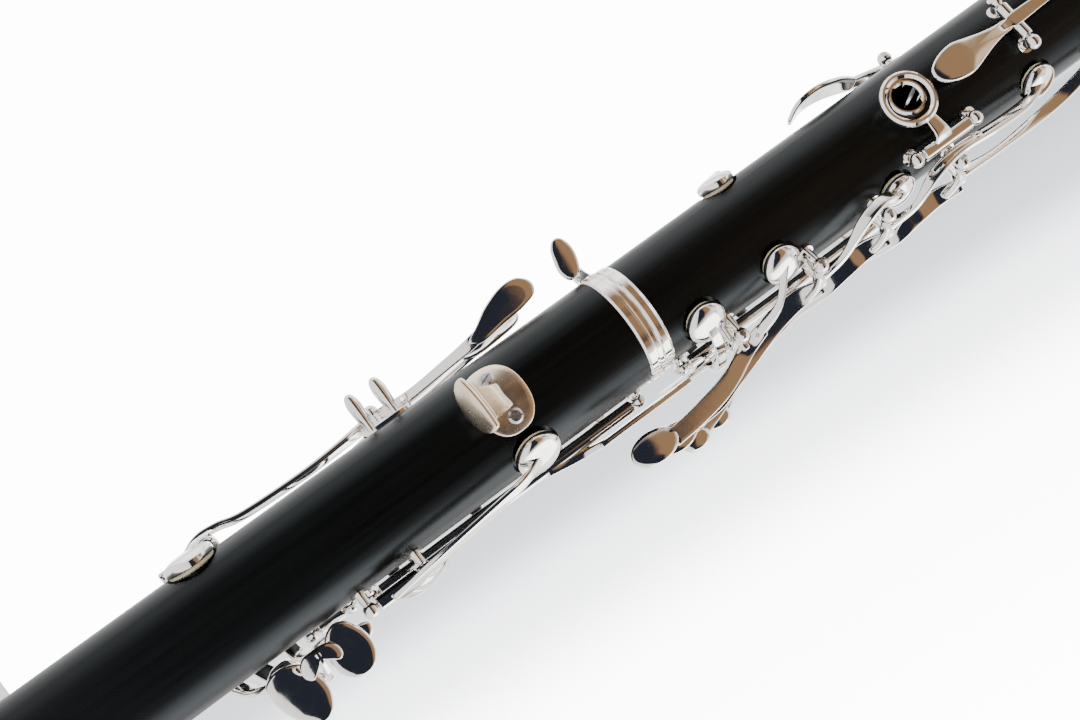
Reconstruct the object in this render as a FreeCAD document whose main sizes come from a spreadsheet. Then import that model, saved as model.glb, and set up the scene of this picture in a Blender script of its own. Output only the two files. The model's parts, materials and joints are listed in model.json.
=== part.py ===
import FreeCAD, Part
import math
import os
import Sketcher

V = FreeCAD.Vector
doc = FreeCAD.newDocument("clarinet")

# Every length is in millimetres. Z runs up the bore from the bell's rim towards the mouthpiece.
# Keys are placed by station (height above the joint line), angle round the body and radius.
# Angle 0 is the thumb side (+Y), +90 the player's left (+X), 180 the front and -90 the right.
SIZES = [
    ("joint_line", 338.0), ("bell_rim_radius", 39.5), ("bell_mouth_radius", 29.5),
    ("bell_throat_radius", 11.5), ("bell_neck_radius", 16.3), ("bell_height", 105.0),
    ("rim_ring_height", 3.6), ("neck_ring_height", 9.0), ("neck_ring_radius", 17.6),
    ("lower_radius", 14.05), ("upper_radius", 13.75), ("bore_radius", 7.35),
    ("foot_bore_radius", 10.4), ("foot_radius", 14.7), ("foot_tenon_start", 84.0),
    ("foot_tenon_radius", 13.0), ("foot_socket_radius", 13.15), ("foot_cork_radius", 12.2),
    ("flare_start", 168.0), ("socket_depth", 17.0), ("socket_radius", 11.65),
    ("mid_tenon_radius", 11.5), ("mid_cork_radius", 10.7), ("top_of_upper", 531.0),
    ("top_tenon_end", 547.5), ("top_tenon_radius", 10.9), ("top_cork_radius", 10.1),
    ("top_socket_radius", 11.05), ("barrel_top", 596.0), ("barrel_mid_radius", 15.9),
    ("barrel_end_radius", 15.1), ("barrel_ring_radius", 16.6), ("barrel_ring_height", 6.5),
    ("mouth_tenon_start", 580.0), ("band_seat_radius", 13.0), ("socket_band_radius", 14.55),
    ("upper_band_radius", 14.2), ("top_band_radius", 14.9), ("socket_band_height", 4.2),
    ("upper_band_height", 3.1), ("shank_radius", 14.0), ("mouth_top", 669.0),
    ("beak_start", 622.0), ("reed_width", 13.0), ("reed_thickness", 3.0), ("reed_length", 66.0),
    ("ligature_start", 604.0), ("ligature_height", 25.0), ("ball_radius", 1.9),
    ("shank_hole_radius", 1.2), ("rod_radius", 0.8), ("tube_bore_radius", 0.86),
    ("tube_radius", 1.7), ("chimney_radius", 5.6), ("chimney_top", 15.5),
    ("ring_inner_radius", 6.5), ("ring_outer_radius", 8.1), ("ring_height", 1.7),
    ("rest_width", 9.0), ("rest_reach", 24.0), ("post_shank", 2.0), ("socket_shank", 0.6),
]
sheet = doc.addObject("Spreadsheet::Sheet", "Sizes")
for row, (alias, value) in enumerate(SIZES, start=1):
    sheet.set("A%d" % row, alias)
    sheet.set("B%d" % row, str(value))
    sheet.setAlias("B%d" % row, alias)
doc.recompute()


def size(alias):
    """The value in the sheet's cell of that name."""
    return float(sheet.get(alias))


JOINT = size("joint_line")
LOWER_R = size("lower_radius")
UPPER_R = size("upper_radius")
BALL_R = size("ball_radius")
AXIAL = V(0, 0, 1)
results = {}


# ---------------------------------------------------------------- small geometry helpers
def outward(angle):
    a = math.radians(angle)
    return V(math.sin(a), math.cos(a), 0)


def sideways(angle):
    a = math.radians(angle)
    return V(math.cos(a), -math.sin(a), 0)


def at(station, angle, radius):
    """A point given by its station, its angle and its radius."""
    return outward(angle) * radius + V(0, 0, JOINT + station)


def body_radius(station):
    return UPPER_R if station > 0 else LOWER_R


def cylinder(centre, direction, radius, before, after):
    start = centre - direction * before
    return Part.makeCylinder(radius, before + after, start, direction)


def covers(whole, piece):
    box = whole.BoundBox
    box.enlarge(0.1)
    return box.isInside(piece.BoundBox)


def merged(first, second):
    """Fuse two pieces of one key, shifting the second by a hair where the exact fuse fails."""
    for nudge in (0.0, 0.02, -0.03, 0.045, -0.06, 0.08):
        piece = second.copy()
        piece.translate(V(0.4, 0.3, 0.87) * nudge)
        least = first.Volume + 0.08 * piece.Volume
        most = first.Volume + piece.Volume
        whole = first.fuse(piece)
        sound = whole.isValid() and len(whole.Solids) == 1 and least < whole.Volume < most
        if sound and covers(whole, first) and covers(whole, piece):
            return whole
    return None


def joined(shapes):
    """Fuse touching pieces into one solid, taking each as soon as something reaches it."""
    whole = shapes[0]
    waiting = list(shapes[1:])
    while waiting:
        near = [shape for shape in waiting if whole.distToShape(shape)[0] < 1e-4]
        larger = None
        for shape in near:
            larger = merged(whole, shape)
            if larger:
                waiting = [other for other in waiting if other is not shape]
                whole = larger
                break
        if larger is None:
            raise RuntimeError("%d pieces of a part do not join" % len(waiting))
    return whole


def spun(profile, base, direction):
    """Turn a closed (radius, height) profile round the line through base along direction."""
    helper = V(1, 0, 0) if abs(direction.x) < 0.8 else V(0, 1, 0)
    side = direction.cross(helper).normalize()
    points = [base + side * r + direction * height for r, height in profile]
    face = Part.Face(Part.makePolygon(points + [points[0]]))
    return face.revolve(base, direction, 360)


def eased(values, steps):
    """Values with evenly blended ones added between each neighbouring pair."""
    out = []
    for first, second in zip(values, values[1:]):
        out += [first + (second - first) * (i / float(steps)) for i in range(steps)]
    return out + [values[-1]]


def curved(path, steps):
    """Points along a smooth curve through the path, with the given steps to each span."""
    if len(path) < 3:
        return eased(path, steps)
    curve = Part.BSplineCurve()
    curve.interpolate(path)
    knots = [curve.parameter(point) for point in path]
    return [curve.value(t) for t in eased(knots, steps)]


def arm(path, widths, thicknesses, flat=None, ending=None, steps=2):
    """A bevelled bar along a path of points; its flat side faces away from the bore.

    flat gives the flat side another direction all along, and ending gives the last point one.
    """
    points = curved(path, steps)
    widths = eased(widths, steps)
    thicknesses = eased(thicknesses, steps)
    wires = []
    for i, point in enumerate(points):
        run = (points[min(i + 1, len(points) - 1)] - points[max(i - 1, 0)]).normalize()
        up = flat if flat else V(point.x, point.y, 0)
        if ending and i >= len(points) - steps:
            up = ending
        up = (up - run * up.dot(run)).normalize()
        across = up.cross(run).normalize()
        w = widths[i] / 2.0
        t = thicknesses[i] / 2.0
        corners = [(w, -0.4 * t), (w, 0.4 * t), (0.7 * w, t), (-0.7 * w, t),
                   (-w, 0.4 * t), (-w, -0.4 * t), (-0.7 * w, -t), (0.7 * w, -t)]
        ring = [point + across * x + up * y for x, y in corners]
        wires.append(Part.makePolygon(ring + [ring[0]]))
    bar = Part.makeLoft(wires, True, True)
    if bar.Volume < 0:
        bar.reverse()
    return bar


def plate(outline, thickness, rounded=True):
    """A flat plate: a smooth closed outline of points, thickened both ways by thickness/2."""
    curve = Part.BSplineCurve()
    curve.interpolate(outline, PeriodicFlag=True)
    face = Part.Face(Part.Wire([curve.toShape()]))
    normal = face.normalAt(0.5, 0.5)
    face.translate(normal * (-thickness / 2.0))
    slab = face.extrude(normal * thickness)
    if not rounded:
        return slab
    rims = [edge for edge in slab.Edges if edge.Length > 3 * thickness]
    return slab.makeFillet(thickness * 0.22, rims)


def fin(outline, angle, thickness, rounded=True):
    """A plate standing out from the body, from (station, radius) points at one angle."""
    return plate([at(s, angle, r) for s, r in outline], thickness, rounded)


# ---------------------------------------------------------------- pads, cups and tone holes
def pad_profile(diameter):
    r = diameter / 2.0 - 0.55
    return [(0, 0.05), (r - 0.6, 0.05), (r, 0.45), (r, 2.4), (0, 2.4)]


def cup_profile(diameter):
    outer = diameter / 2.0
    inner = outer - 0.5
    dome = [(outer * math.cos(t), 2.5 + 1.4 * math.sin(t)) for t in [math.radians(a) for a in range(0, 90, 15)]]
    return [(0, 2.45), (inner, 2.45), (inner, 1.3), (outer, 1.3)] + dome + [(0, 3.9)]


def seat_radius(station):
    """Radius of the flat rim that a pad closes on."""
    return body_radius(station) - 0.9


def make_cup(station, angle, diameter, seat=None):
    base = outward(angle) * (seat or seat_radius(station)) + V(0, 0, JOINT + station)
    return spun(cup_profile(diameter), base, outward(angle))


def make_pad(station, angle, diameter, seat=None):
    base = outward(angle) * (seat or seat_radius(station)) + V(0, 0, JOINT + station)
    return spun(pad_profile(diameter), base, outward(angle))


def padded_hole(station, angle, diameter, hole_radius):
    """The cutters for a padded tone hole: a sunk recess round a rim, and the hole itself."""
    away = outward(angle)
    seat = seat_radius(station)
    base = V(0, 0, JOINT + station)
    recess = cylinder(base + away * seat, away, diameter / 2.0 + 0.5, 0, 8)
    moat = cylinder(base + away * seat, away, diameter / 2.0 + 0.5, 0.9, 0)
    moat = moat.cut(cylinder(base + away * seat, away, hole_radius + 1.1, 1.5, 1))
    hole = cylinder(base, away, hole_radius, 0, 20)
    return [recess, moat, hole]


# Padded keys: station, angle round the body, cup diameter and tone hole radius.
PADS = {
    "lower_rings": (-16.0, 172.0, 11.0, 3.2),
    "sliver_lower": (-38.0, -66.0, 11.8, 3.4),
    "a_flat": (-95.5, -164.0, 13.0, 4.2),
    "f_sharp": (-115.0, 66.0, 12.6, 4.2),
    "f": (-136.0, -174.0, 16.5, 6.0),
    "e": (-163.0, 180.0, 17.0, 6.4),
    "upper_rings": (63.0, -168.0, 9.5, 2.4),
    "c_sharp": (12.5, -59.0, 10.5, 3.0),
    "side_1": (36.0, -57.0, 10.2, 3.0),
    "side_2": (72.5, -73.0, 9.6, 2.8),
    "side_3": (119.0, -64.0, 9.6, 2.8),
    "side_4": (140.0, -74.0, 9.6, 2.8),
    "sliver_upper": (37.5, 67.0, 9.6, 2.8),
    "throat_g_sharp": (112.0, 128.0, 9.6, 2.8),
    "throat_a": (134.0, 172.0, 9.6, 2.8),
}

# ---------------------------------------------------------------- hinges
# Axial hinges: station of each post, angle and radius of the rod.
AXIAL_HINGES = {
    "lower_rings": (-86.0, -8.0, -118.0, 16.9),
    "sliver_lower": (-89.0, -73.5, -90.0, 18.6),
    "a_flat": (-101.8, -91.0, -134.0, 17.4),
    "f_sharp": (-112.5, -103.0, 180.0, 17.6),
    "f": (-150.0, -116.0, 148.0, 17.6),
    "e": (-172.5, -116.0, 124.0, 16.7),
    "upper_rings": (5.6, 70.0, -118.0, 16.9),
    "c_sharp": (5.6, 17.6, 180.0, 17.2),
    "sliver_upper": (42.5, 57.0, 124.0, 16.8),
    "thumb_ring": (78.0, 97.0, -47.0, 17.0),
}
# Cross hinges: station, angle at the middle, radius there, and half the distance between posts.
CROSS_HINGES = {
    "side_1": (18.5, -92.0, 19.3, 4.2),
    "side_2": (43.5, -78.0, 19.3, 3.6),
    "side_3": (65.0, -78.0, 19.3, 3.6),
    "side_4": (89.0, -80.0, 19.3, 3.6),
    "register": (119.5, 0.0, 16.7, 7.0),
    "throat_g_sharp": (98.0, 118.0, 17.0, 4.4),
    "throat_a": (119.0, 172.0, 17.0, 4.6),
    "lever_e": (-61.0, 118.0, 18.6, 6.6),
}


def hinge_line(name):
    """Middle of the hinge, its direction, and half the distance between its posts."""
    if name in AXIAL_HINGES:
        low, high, angle, radius = AXIAL_HINGES[name]
        return at((low + high) / 2.0, angle, radius), AXIAL, (high - low) / 2.0
    station, angle, radius, half = CROSS_HINGES[name]
    return at(station, angle, radius), sideways(angle), half


def tube(name, low=0.0, high=0.0):
    """The hinge tube between its posts, shortened at either end by low and high."""
    centre, direction, half = hinge_line(name)
    reach = half - BALL_R - 0.1
    return cylinder(centre, direction, size("tube_radius"), reach - low, reach - high)


def bored(shape, name):
    centre, direction, half = hinge_line(name)
    return shape.cut(cylinder(centre, direction, size("tube_bore_radius"), half, half))


def opened(shape, name, degrees):
    """Lift an open-standing key off its hole by turning it about its hinge."""
    centre, direction, _ = hinge_line(name)
    shape = shape.copy()
    shape.rotate(centre, direction, degrees)
    return shape


def make_post(point, direction):
    """A ball post screwed into the wood, its ball drilled for the rod."""
    away = V(point.x, point.y, 0).normalize()
    station = point.z - JOINT
    radius = V(point.x, point.y, 0).Length
    wood = body_radius(station)
    ball = Part.makeSphere(BALL_R, point)
    foot = V(0, 0, point.z) + away * (wood - 1.5)
    stem = Part.makeCone(1.7, 1.0, radius - wood + 0.6, foot, away)
    flange = Part.makeCylinder(2.1, 2.1, foot, away)
    above = joined([ball, stem, flange])
    above = above.cut(cylinder(V(0, 0, point.z), AXIAL, wood, 6, 6))
    over_socket = -size("socket_depth") < station < 0
    depth = size("socket_shank") if over_socket else size("post_shank")
    shank = cylinder(foot, away, size("shank_hole_radius"), depth, 1.9)
    post = joined([above, shank])
    return post.cut(cylinder(point, direction, size("rod_radius"), 3, 3))


def post_hole(point):
    away = V(point.x, point.y, 0).normalize()
    wood = body_radius(point.z - JOINT)
    foot = V(0, 0, point.z) + away * (wood - 3.5)
    return Part.makeCylinder(size("shank_hole_radius"), 6.0, foot, away)


def make_rod(name):
    """A steel hinge rod, flush with both balls, with a screwdriver slot in one end."""
    centre, direction, half = hinge_line(name)
    reach = half + BALL_R - 0.15
    rod = cylinder(centre, direction, size("rod_radius"), reach, reach)
    slot_middle = centre + direction * reach
    slot = Part.makeBox(0.35, 2.4, 1.0, V(-0.175, -1.2, -0.5))
    slot.Placement = FreeCAD.Placement(slot_middle, FreeCAD.Rotation(AXIAL, direction))
    return rod.cut(slot)


def post_points(name):
    centre, direction, half = hinge_line(name)
    return [centre - direction * half, centre + direction * half]


# ---------------------------------------------------------------- turned parts
def turned(name, profile):
    """A PartDesign body turned from a (radius, height) outline of spreadsheet expressions."""
    body = doc.addObject("PartDesign::Body", name)
    sketch = body.newObject("Sketcher::SketchObject", name + "_outline")
    plane = [f for f in body.Origin.OriginFeatures if f.Name.startswith("XZ_Plane")][0]
    sketch.AttachmentSupport = [(plane, "")]
    sketch.MapMode = "FlatFace"
    count = len(profile)
    places = [(value_of(r), value_of(z)) for r, z in profile]
    for i in range(count):
        ends = places[i], places[(i + 1) % count]
        sketch.addGeometry(Part.LineSegment(V(*ends[0], 0), V(*ends[1], 0)), False)
    for i in range(count):
        sketch.addConstraint(Sketcher.Constraint("Coincident", i, 2, (i + 1) % count, 1))
    for i, (r, z) in enumerate(profile):
        for kind, expression, value in (("DistanceX", r, places[i][0]), ("DistanceY", z, places[i][1])):
            if abs(value) < 1e-9:
                on_axis = -2 if kind == "DistanceX" else -1
                sketch.addConstraint(Sketcher.Constraint("PointOnObject", i, 1, on_axis))
                continue
            index = sketch.addConstraint(Sketcher.Constraint(kind, -1, 1, i, 1, value))
            sketch.setExpression("Constraints[%d]" % index, bound(expression))
    spin = body.newObject("PartDesign::Revolution", name + "_turning")
    spin.Profile = sketch
    spin.ReferenceAxis = (sketch, ["V_Axis"])
    spin.Angle = 360
    body.Tip = spin
    doc.recompute()
    return body


def value_of(expression):
    """Work out 'alias', 'alias+number' or a plain number against the sheet."""
    total = 0.0
    for term in str(expression).replace("-", "+-").split("+"):
        if not term:
            continue
        sign = -1.0 if term.startswith("-") else 1.0
        word = term.lstrip("-")
        total += sign * (float(word) if word[0].isdigit() else size(word))
    return total


def bound(expression):
    """The same expression with each alias pointed at the sheet."""
    terms = str(expression).replace("-", "+-").split("+")
    words = []
    for term in terms:
        if not term:
            continue
        sign = "-" if term.startswith("-") else "+"
        word = term.lstrip("-")
        words.append(sign + (word if word[0].isdigit() else "Sizes." + word))
    return "".join(words).lstrip("+") if words[0][0] == "+" else "0" + "".join(words)


def keep(name, shape):
    """Store a finished shape as the node of that name."""
    feature = doc.addObject("Part::Feature", name + "_part")
    feature.Shape = shape
    results[name] = feature
    return feature


# ---------------------------------------------------------------- bell
def smooth(points):
    curve = Part.BSplineCurve()
    curve.interpolate(points)
    return curve.toShape()


def on_profile(r, z):
    return V(r, 0, z)


def make_bell():
    rim = size("bell_rim_radius")
    neck = size("bell_neck_radius")
    top = size("bell_height")
    mouth = size("bell_mouth_radius")
    throat = size("bell_throat_radius")
    socket = size("foot_socket_radius")
    tenon = size("foot_tenon_start")
    ring = size("rim_ring_height")
    seat_top = top - size("neck_ring_height")
    flare = smooth([on_profile(rim - 1.6, ring), on_profile(rim * 0.85, 9), on_profile(rim * 0.68, 20),
                    on_profile(rim * 0.55, 36), on_profile(neck + 1.6, 58), on_profile(neck, seat_top)])
    cavity = smooth([on_profile(throat, tenon - 1.0), on_profile(throat + 1.4, 62), on_profile(throat + 4.2, 40),
                     on_profile(mouth * 0.72, 18), on_profile(mouth, 0)])
    lines = [
        (on_profile(mouth, 0), on_profile(rim - 1.6, 0)),
        (on_profile(rim - 1.6, 0), on_profile(rim - 1.6, ring)),
        None,
        (on_profile(neck, seat_top), on_profile(neck - 0.9, seat_top)),
        (on_profile(neck - 0.9, seat_top), on_profile(neck - 0.9, top)),
        (on_profile(neck - 0.9, top), on_profile(socket, top)),
        (on_profile(socket, top), on_profile(socket, tenon - 1.0)),
        (on_profile(socket, tenon - 1.0), on_profile(throat, tenon - 1.0)),
    ]
    edges = [flare if pair is None else Part.LineSegment(*pair).toShape() for pair in lines]
    wire = Part.Wire(Part.__sortEdges__(edges + [cavity]))
    return Part.Face(wire).revolve(V(0, 0, 0), AXIAL, 360)


keep("bell", make_bell())
rim_ring = turned("bell_rim_ring", [
    ("bell_rim_radius-1.6", "0"), ("bell_rim_radius-0.8", "0"), ("bell_rim_radius", "0.8"),
    ("bell_rim_radius", "rim_ring_height-0.8"), ("bell_rim_radius-0.7", "rim_ring_height"),
    ("bell_rim_radius-1.6", "rim_ring_height")])
neck_ring = turned("bell_neck_ring", [
    ("bell_neck_radius-0.9", "bell_height-neck_ring_height"),
    ("bell_neck_radius+0.2", "bell_height-neck_ring_height"),
    ("neck_ring_radius-0.5", "bell_height-7"), ("neck_ring_radius", "bell_height-6"),
    ("neck_ring_radius", "bell_height-1"), ("neck_ring_radius-0.8", "bell_height"),
    ("bell_neck_radius-0.9", "bell_height")])
results["bell_rings"] = [rim_ring, neck_ring]

# ---------------------------------------------------------------- lower and upper joint blanks
lower_blank = turned("lower_blank", [
    ("foot_bore_radius", "foot_tenon_start"), ("foot_tenon_radius", "foot_tenon_start"),
    ("foot_tenon_radius", "foot_tenon_start+4"), ("foot_cork_radius", "foot_tenon_start+4"),
    ("foot_cork_radius", "bell_height-3"), ("foot_tenon_radius", "bell_height-3"),
    ("foot_tenon_radius", "bell_height"), ("foot_radius", "bell_height"),
    ("foot_radius", "bell_height+14"), ("lower_radius", "bell_height+30"),
    ("lower_radius", "joint_line-socket_band_height"),
    ("band_seat_radius", "joint_line-socket_band_height"), ("band_seat_radius", "joint_line"),
    ("socket_radius", "joint_line"), ("socket_radius", "joint_line-socket_depth"),
    ("bore_radius", "joint_line-socket_depth"), ("bore_radius", "flare_start")])
upper_blank = turned("upper_blank", [
    ("bore_radius", "joint_line-16.5"), ("mid_tenon_radius", "joint_line-16.5"),
    ("mid_tenon_radius", "joint_line-13.5"), ("mid_cork_radius", "joint_line-13.5"),
    ("mid_cork_radius", "joint_line-3"), ("mid_tenon_radius", "joint_line-3"),
    ("mid_tenon_radius", "joint_line"), ("band_seat_radius", "joint_line"),
    ("band_seat_radius", "joint_line+upper_band_height"),
    ("upper_radius", "joint_line+upper_band_height"),
    ("upper_radius", "top_of_upper-5"), ("band_seat_radius", "top_of_upper-5"),
    ("band_seat_radius", "top_of_upper"), ("top_tenon_radius", "top_of_upper"),
    ("top_tenon_radius", "top_of_upper+3"), ("top_cork_radius", "top_of_upper+3"),
    ("top_cork_radius", "top_tenon_end-3"), ("top_tenon_radius", "top_tenon_end-3"),
    ("top_tenon_radius", "top_tenon_end"), ("bore_radius", "top_tenon_end")])

CHIMNEYS = [(-30.0, 180.0, 3.7), (-54.0, 180.0, 4.0), (-78.0, 180.0, 4.2),
            (28.0, 180.0, 3.6), (51.0, 180.0, 3.4), (74.0, 178.0, 3.4)]
SCREW_SPOTS = [(-38.4, 21.0), (-38.4, -21.0)]
THUMB_HOLE = 83.8
VENT_STATION = 152.0


def joint_wood(blank, below):
    """Cut the tone holes, recesses and post holes into one joint and add its chimneys."""
    def here(station):
        return (station < 0) == below
    wood = blank.Shape
    add = []
    cut = []
    for station, angle, hole in CHIMNEYS:
        if here(station):
            base = V(0, 0, JOINT + station)
            add.append(cylinder(base + outward(angle) * 12, outward(angle), size("chimney_radius"),
                                0, size("chimney_top") - 12))
            cut.append(cylinder(base, outward(angle), hole, 0, 20))
    for station, angle, diameter, hole in PADS.values():
        if here(station):
            cut += padded_hole(station, angle, diameter, hole)
    for name in list(AXIAL_HINGES) + list(CROSS_HINGES):
        if name == "lever_e":
            continue
        cut += [post_hole(p) for p in post_points(name) if here(p.z - JOINT)]
    if below:
        for station, angle in SCREW_SPOTS:
            cut.append(cylinder(at(station, angle, LOWER_R), outward(angle), 1.1, 4.5, 2))
        for angle in (90.0, 130.0):
            cut.append(cylinder(at(-54.5, angle, LOWER_R), outward(angle), 1.1, 4.0, 2))
    else:
        cut.append(cylinder(at(THUMB_HOLE, 0, 10), AXIAL.cross(V(1, 0, 0)), 4.8, 4.5, 9))
        cut.append(cylinder(at(VENT_STATION, 0, 10), AXIAL.cross(V(1, 0, 0)), 2.6, 5.5, 9))
    return joined([wood] + add).cut(Part.makeCompound(cut))


keep("lower_joint", joint_wood(lower_blank, True))
keep("upper_joint", joint_wood(upper_blank, False))

results["lower_joint_rings"] = [turned("socket_band", [
    ("band_seat_radius", "joint_line-socket_band_height"),
    ("lower_radius+0.1", "joint_line-socket_band_height"),
    ("socket_band_radius", "joint_line-3.7"), ("socket_band_radius", "joint_line-2.1"),
    ("lower_radius+0.1", "joint_line-1.9"), ("lower_radius+0.1", "joint_line-1.6"),
    ("socket_band_radius", "joint_line-1.3"), ("socket_band_radius", "joint_line-0.4"),
    ("socket_band_radius-0.4", "joint_line"), ("band_seat_radius", "joint_line")])]
results["upper_joint_rings"] = [
    turned("mid_band", [
        ("band_seat_radius", "joint_line"), ("upper_band_radius-0.5", "joint_line"),
        ("upper_band_radius-0.1", "joint_line+0.5"), ("upper_band_radius", "joint_line+0.9"),
        ("upper_band_radius", "joint_line+2.3"), ("upper_band_radius-0.4", "joint_line+upper_band_height"),
        ("band_seat_radius", "joint_line+upper_band_height")]),
    turned("top_band", [
        ("band_seat_radius", "top_of_upper-5"), ("upper_radius+0.2", "top_of_upper-5"),
        ("top_band_radius", "top_of_upper-4"), ("top_band_radius", "top_of_upper-0.8"),
        ("top_band_radius-0.6", "top_of_upper"), ("band_seat_radius", "top_of_upper")])]

results["tenon_corks"] = [
    turned("foot_cork", [
        ("foot_cork_radius", "foot_tenon_start+4"), ("foot_socket_radius-0.1", "foot_tenon_start+4"),
        ("foot_socket_radius-0.1", "bell_height-3"), ("foot_cork_radius", "bell_height-3")]),
    turned("mid_cork", [
        ("mid_cork_radius", "joint_line-13.5"), ("socket_radius-0.1", "joint_line-13.5"),
        ("socket_radius-0.1", "joint_line-3"), ("mid_cork_radius", "joint_line-3")]),
    turned("top_cork", [
        ("top_cork_radius", "top_of_upper+3"), ("top_socket_radius-0.1", "top_of_upper+3"),
        ("top_socket_radius-0.1", "top_tenon_end-3"), ("top_cork_radius", "top_tenon_end-3")]),
    turned("mouth_cork", [
        ("top_cork_radius", "mouth_tenon_start+2"), ("top_socket_radius-0.1", "mouth_tenon_start+2"),
        ("top_socket_radius-0.1", "barrel_top-2"), ("top_cork_radius", "barrel_top-2")])]

# ---------------------------------------------------------------- barrel and mouthpiece
barrel = turned("barrel", [
    ("top_socket_radius", "top_of_upper"), ("barrel_end_radius", "top_of_upper"),
    ("barrel_end_radius", "top_of_upper+barrel_ring_height"),
    ("barrel_end_radius+0.3", "top_of_upper+barrel_ring_height"),
    ("barrel_mid_radius", "top_of_upper+20"), ("barrel_mid_radius+0.3", "top_of_upper+32"),
    ("barrel_mid_radius", "top_of_upper+45"),
    ("barrel_end_radius+0.3", "barrel_top-barrel_ring_height"),
    ("barrel_end_radius", "barrel_top-barrel_ring_height"), ("barrel_end_radius", "barrel_top"),
    ("top_socket_radius", "barrel_top"), ("top_socket_radius", "mouth_tenon_start-0.5"),
    ("bore_radius", "mouth_tenon_start-0.5"), ("bore_radius", "top_tenon_end+0.5"),
    ("top_socket_radius", "top_tenon_end+0.5")])
results["barrel"] = [barrel]
results["barrel_rings"] = [
    turned("barrel_low_ring", [
        ("barrel_end_radius", "top_of_upper"), ("barrel_ring_radius-0.8", "top_of_upper"),
        ("barrel_ring_radius", "top_of_upper+1"), ("barrel_ring_radius", "top_of_upper+4.8"),
        ("barrel_end_radius+0.5", "top_of_upper+barrel_ring_height"),
        ("barrel_end_radius", "top_of_upper+barrel_ring_height")]),
    turned("barrel_high_ring", [
        ("barrel_end_radius", "barrel_top"), ("barrel_ring_radius-0.8", "barrel_top"),
        ("barrel_ring_radius", "barrel_top-1"), ("barrel_ring_radius", "barrel_top-4.8"),
        ("barrel_end_radius+0.5", "barrel_top-barrel_ring_height"),
        ("barrel_end_radius", "barrel_top-barrel_ring_height")])]

mouth_blank = turned("mouth_blank", [
    ("bore_radius", "mouth_tenon_start"), ("top_socket_radius-0.15", "mouth_tenon_start"),
    ("top_socket_radius-0.15", "mouth_tenon_start+2"), ("top_cork_radius", "mouth_tenon_start+2"),
    ("top_cork_radius", "barrel_top-2"), ("top_socket_radius-0.15", "barrel_top-2"),
    ("top_socket_radius-0.15", "barrel_top"), ("shank_radius", "barrel_top"),
    ("shank_radius", "barrel_top+6"), ("shank_radius-0.6", "barrel_top+7"),
    ("shank_radius-1.6", "mouth_top-30"), ("shank_radius-1.9", "mouth_top"), ("0", "mouth_top"), ("0", "mouth_top-16"),
    ("bore_radius-2.6", "mouth_top-22"), ("bore_radius", "mouth_top-46")])


def make_mouthpiece():
    """Slope the beak away at the front, level the table at the back and open the window."""
    top = size("mouth_top")
    start = size("beak_start")
    shank = size("shank_radius")
    table = shank - 2.9
    half_width = size("reed_width") / 2.0
    beak = Part.Face(Part.makePolygon([
        V(-20, -shank - 1, start), V(-20, table - 1.5, top + 0.01), V(-20, table - 1.5, top + 5),
        V(-20, -shank - 9, top + 5), V(-20, -shank - 9, start), V(-20, -shank - 1, start)]))
    beak = beak.extrude(V(40, 0, 0))
    reed_foot = top - 0.8 - size("reed_length")
    level = Part.makeBox(40, 20, top - reed_foot + 6, V(-20, table, reed_foot - 0.1))
    window = Part.Face(Part.makePolygon([
        V(-half_width + 2.6, 0, top - 36), V(half_width - 2.6, 0, top - 36),
        V(half_width - 2.0, 0, top - 2.5), V(-half_width + 2.0, 0, top - 2.5),
        V(-half_width + 2.6, 0, top - 36)])).extrude(V(0, 20, 0))
    body = mouth_blank.Shape.cut(Part.makeCompound([beak, level]))
    return body.cut(window)


def make_reed():
    """A flat cane blank with a rounded back, shaved thin towards its tip."""
    top = size("mouth_top") - 0.8
    base = size("shank_radius") - 2.9
    width = size("reed_width")
    thick = size("reed_thickness")
    length = size("reed_length")
    side = Part.Face(Part.makePolygon([
        V(0, base, top - length), V(0, base + thick, top - length), V(0, base + thick, top - 35),
        V(0, base + thick * 0.4, top - 14), V(0, base + 0.25, top), V(0, base, top),
        V(0, base, top - length)]))
    slab = side.extrude(V(width, 0, 0))
    slab.translate(V(-width / 2.0, 0, 0))
    back = Part.makeCylinder(width * 0.72, length + 2, V(0, base + thick - width * 0.72, top - length - 1))
    tip = Part.makeCylinder(width * 0.62, 20, V(0, base - 5, top - width * 0.62), V(0, 1, 0))
    shaft = Part.makeBox(width, 20, length - 4, V(-width / 2.0, base - 5, top - length))
    return slab.common(back).common(tip.fuse(shaft))


def make_ligature():
    """A plain metal band round the mouthpiece and reed, with two rails for its screws."""
    start = size("ligature_start") + 2.0
    tall = size("ligature_height")
    shank = size("shank_radius") - 0.6
    inner = Part.makeCone(shank + 0.02, shank - 0.55, tall + 4, V(0, 0, start - 2))
    reed_back = Part.makeBox(size("reed_width") + 0.2, 4, tall + 4,
                             V(-size("reed_width") / 2.0 - 0.1, shank - 2.32, start - 2))
    outer = Part.makeCone(shank + 0.85, shank + 0.3, tall, V(0, 0, start))
    hump = Part.makeBox(size("reed_width") + 1.8, 4.6, tall, V(-size("reed_width") / 2.0 - 0.9, shank - 2.32, start))
    rails = [Part.makeBox(2.2, 6.6, tall - 2, V(x, shank + 1.2, start + 1)) for x in (-5.2, 3.0)]
    band = joined([outer, hump] + rails)
    return band.cut(Part.makeCompound([inner, reed_back]))


keep("mouthpiece", make_mouthpiece())
keep("reed", make_reed())
SCREW_LEVELS = [6.5, 19.5]
ligature = make_ligature()
screw_line = size("shank_radius") + 5.1
start_level = size("ligature_start") + 2.0
screw_cuts = [cylinder(V(0, screw_line, start_level + level), V(1, 0, 0), 0.9, 8, 8) for level in SCREW_LEVELS]
keep("ligature_band", ligature.cut(Part.makeCompound(screw_cuts)))


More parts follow.
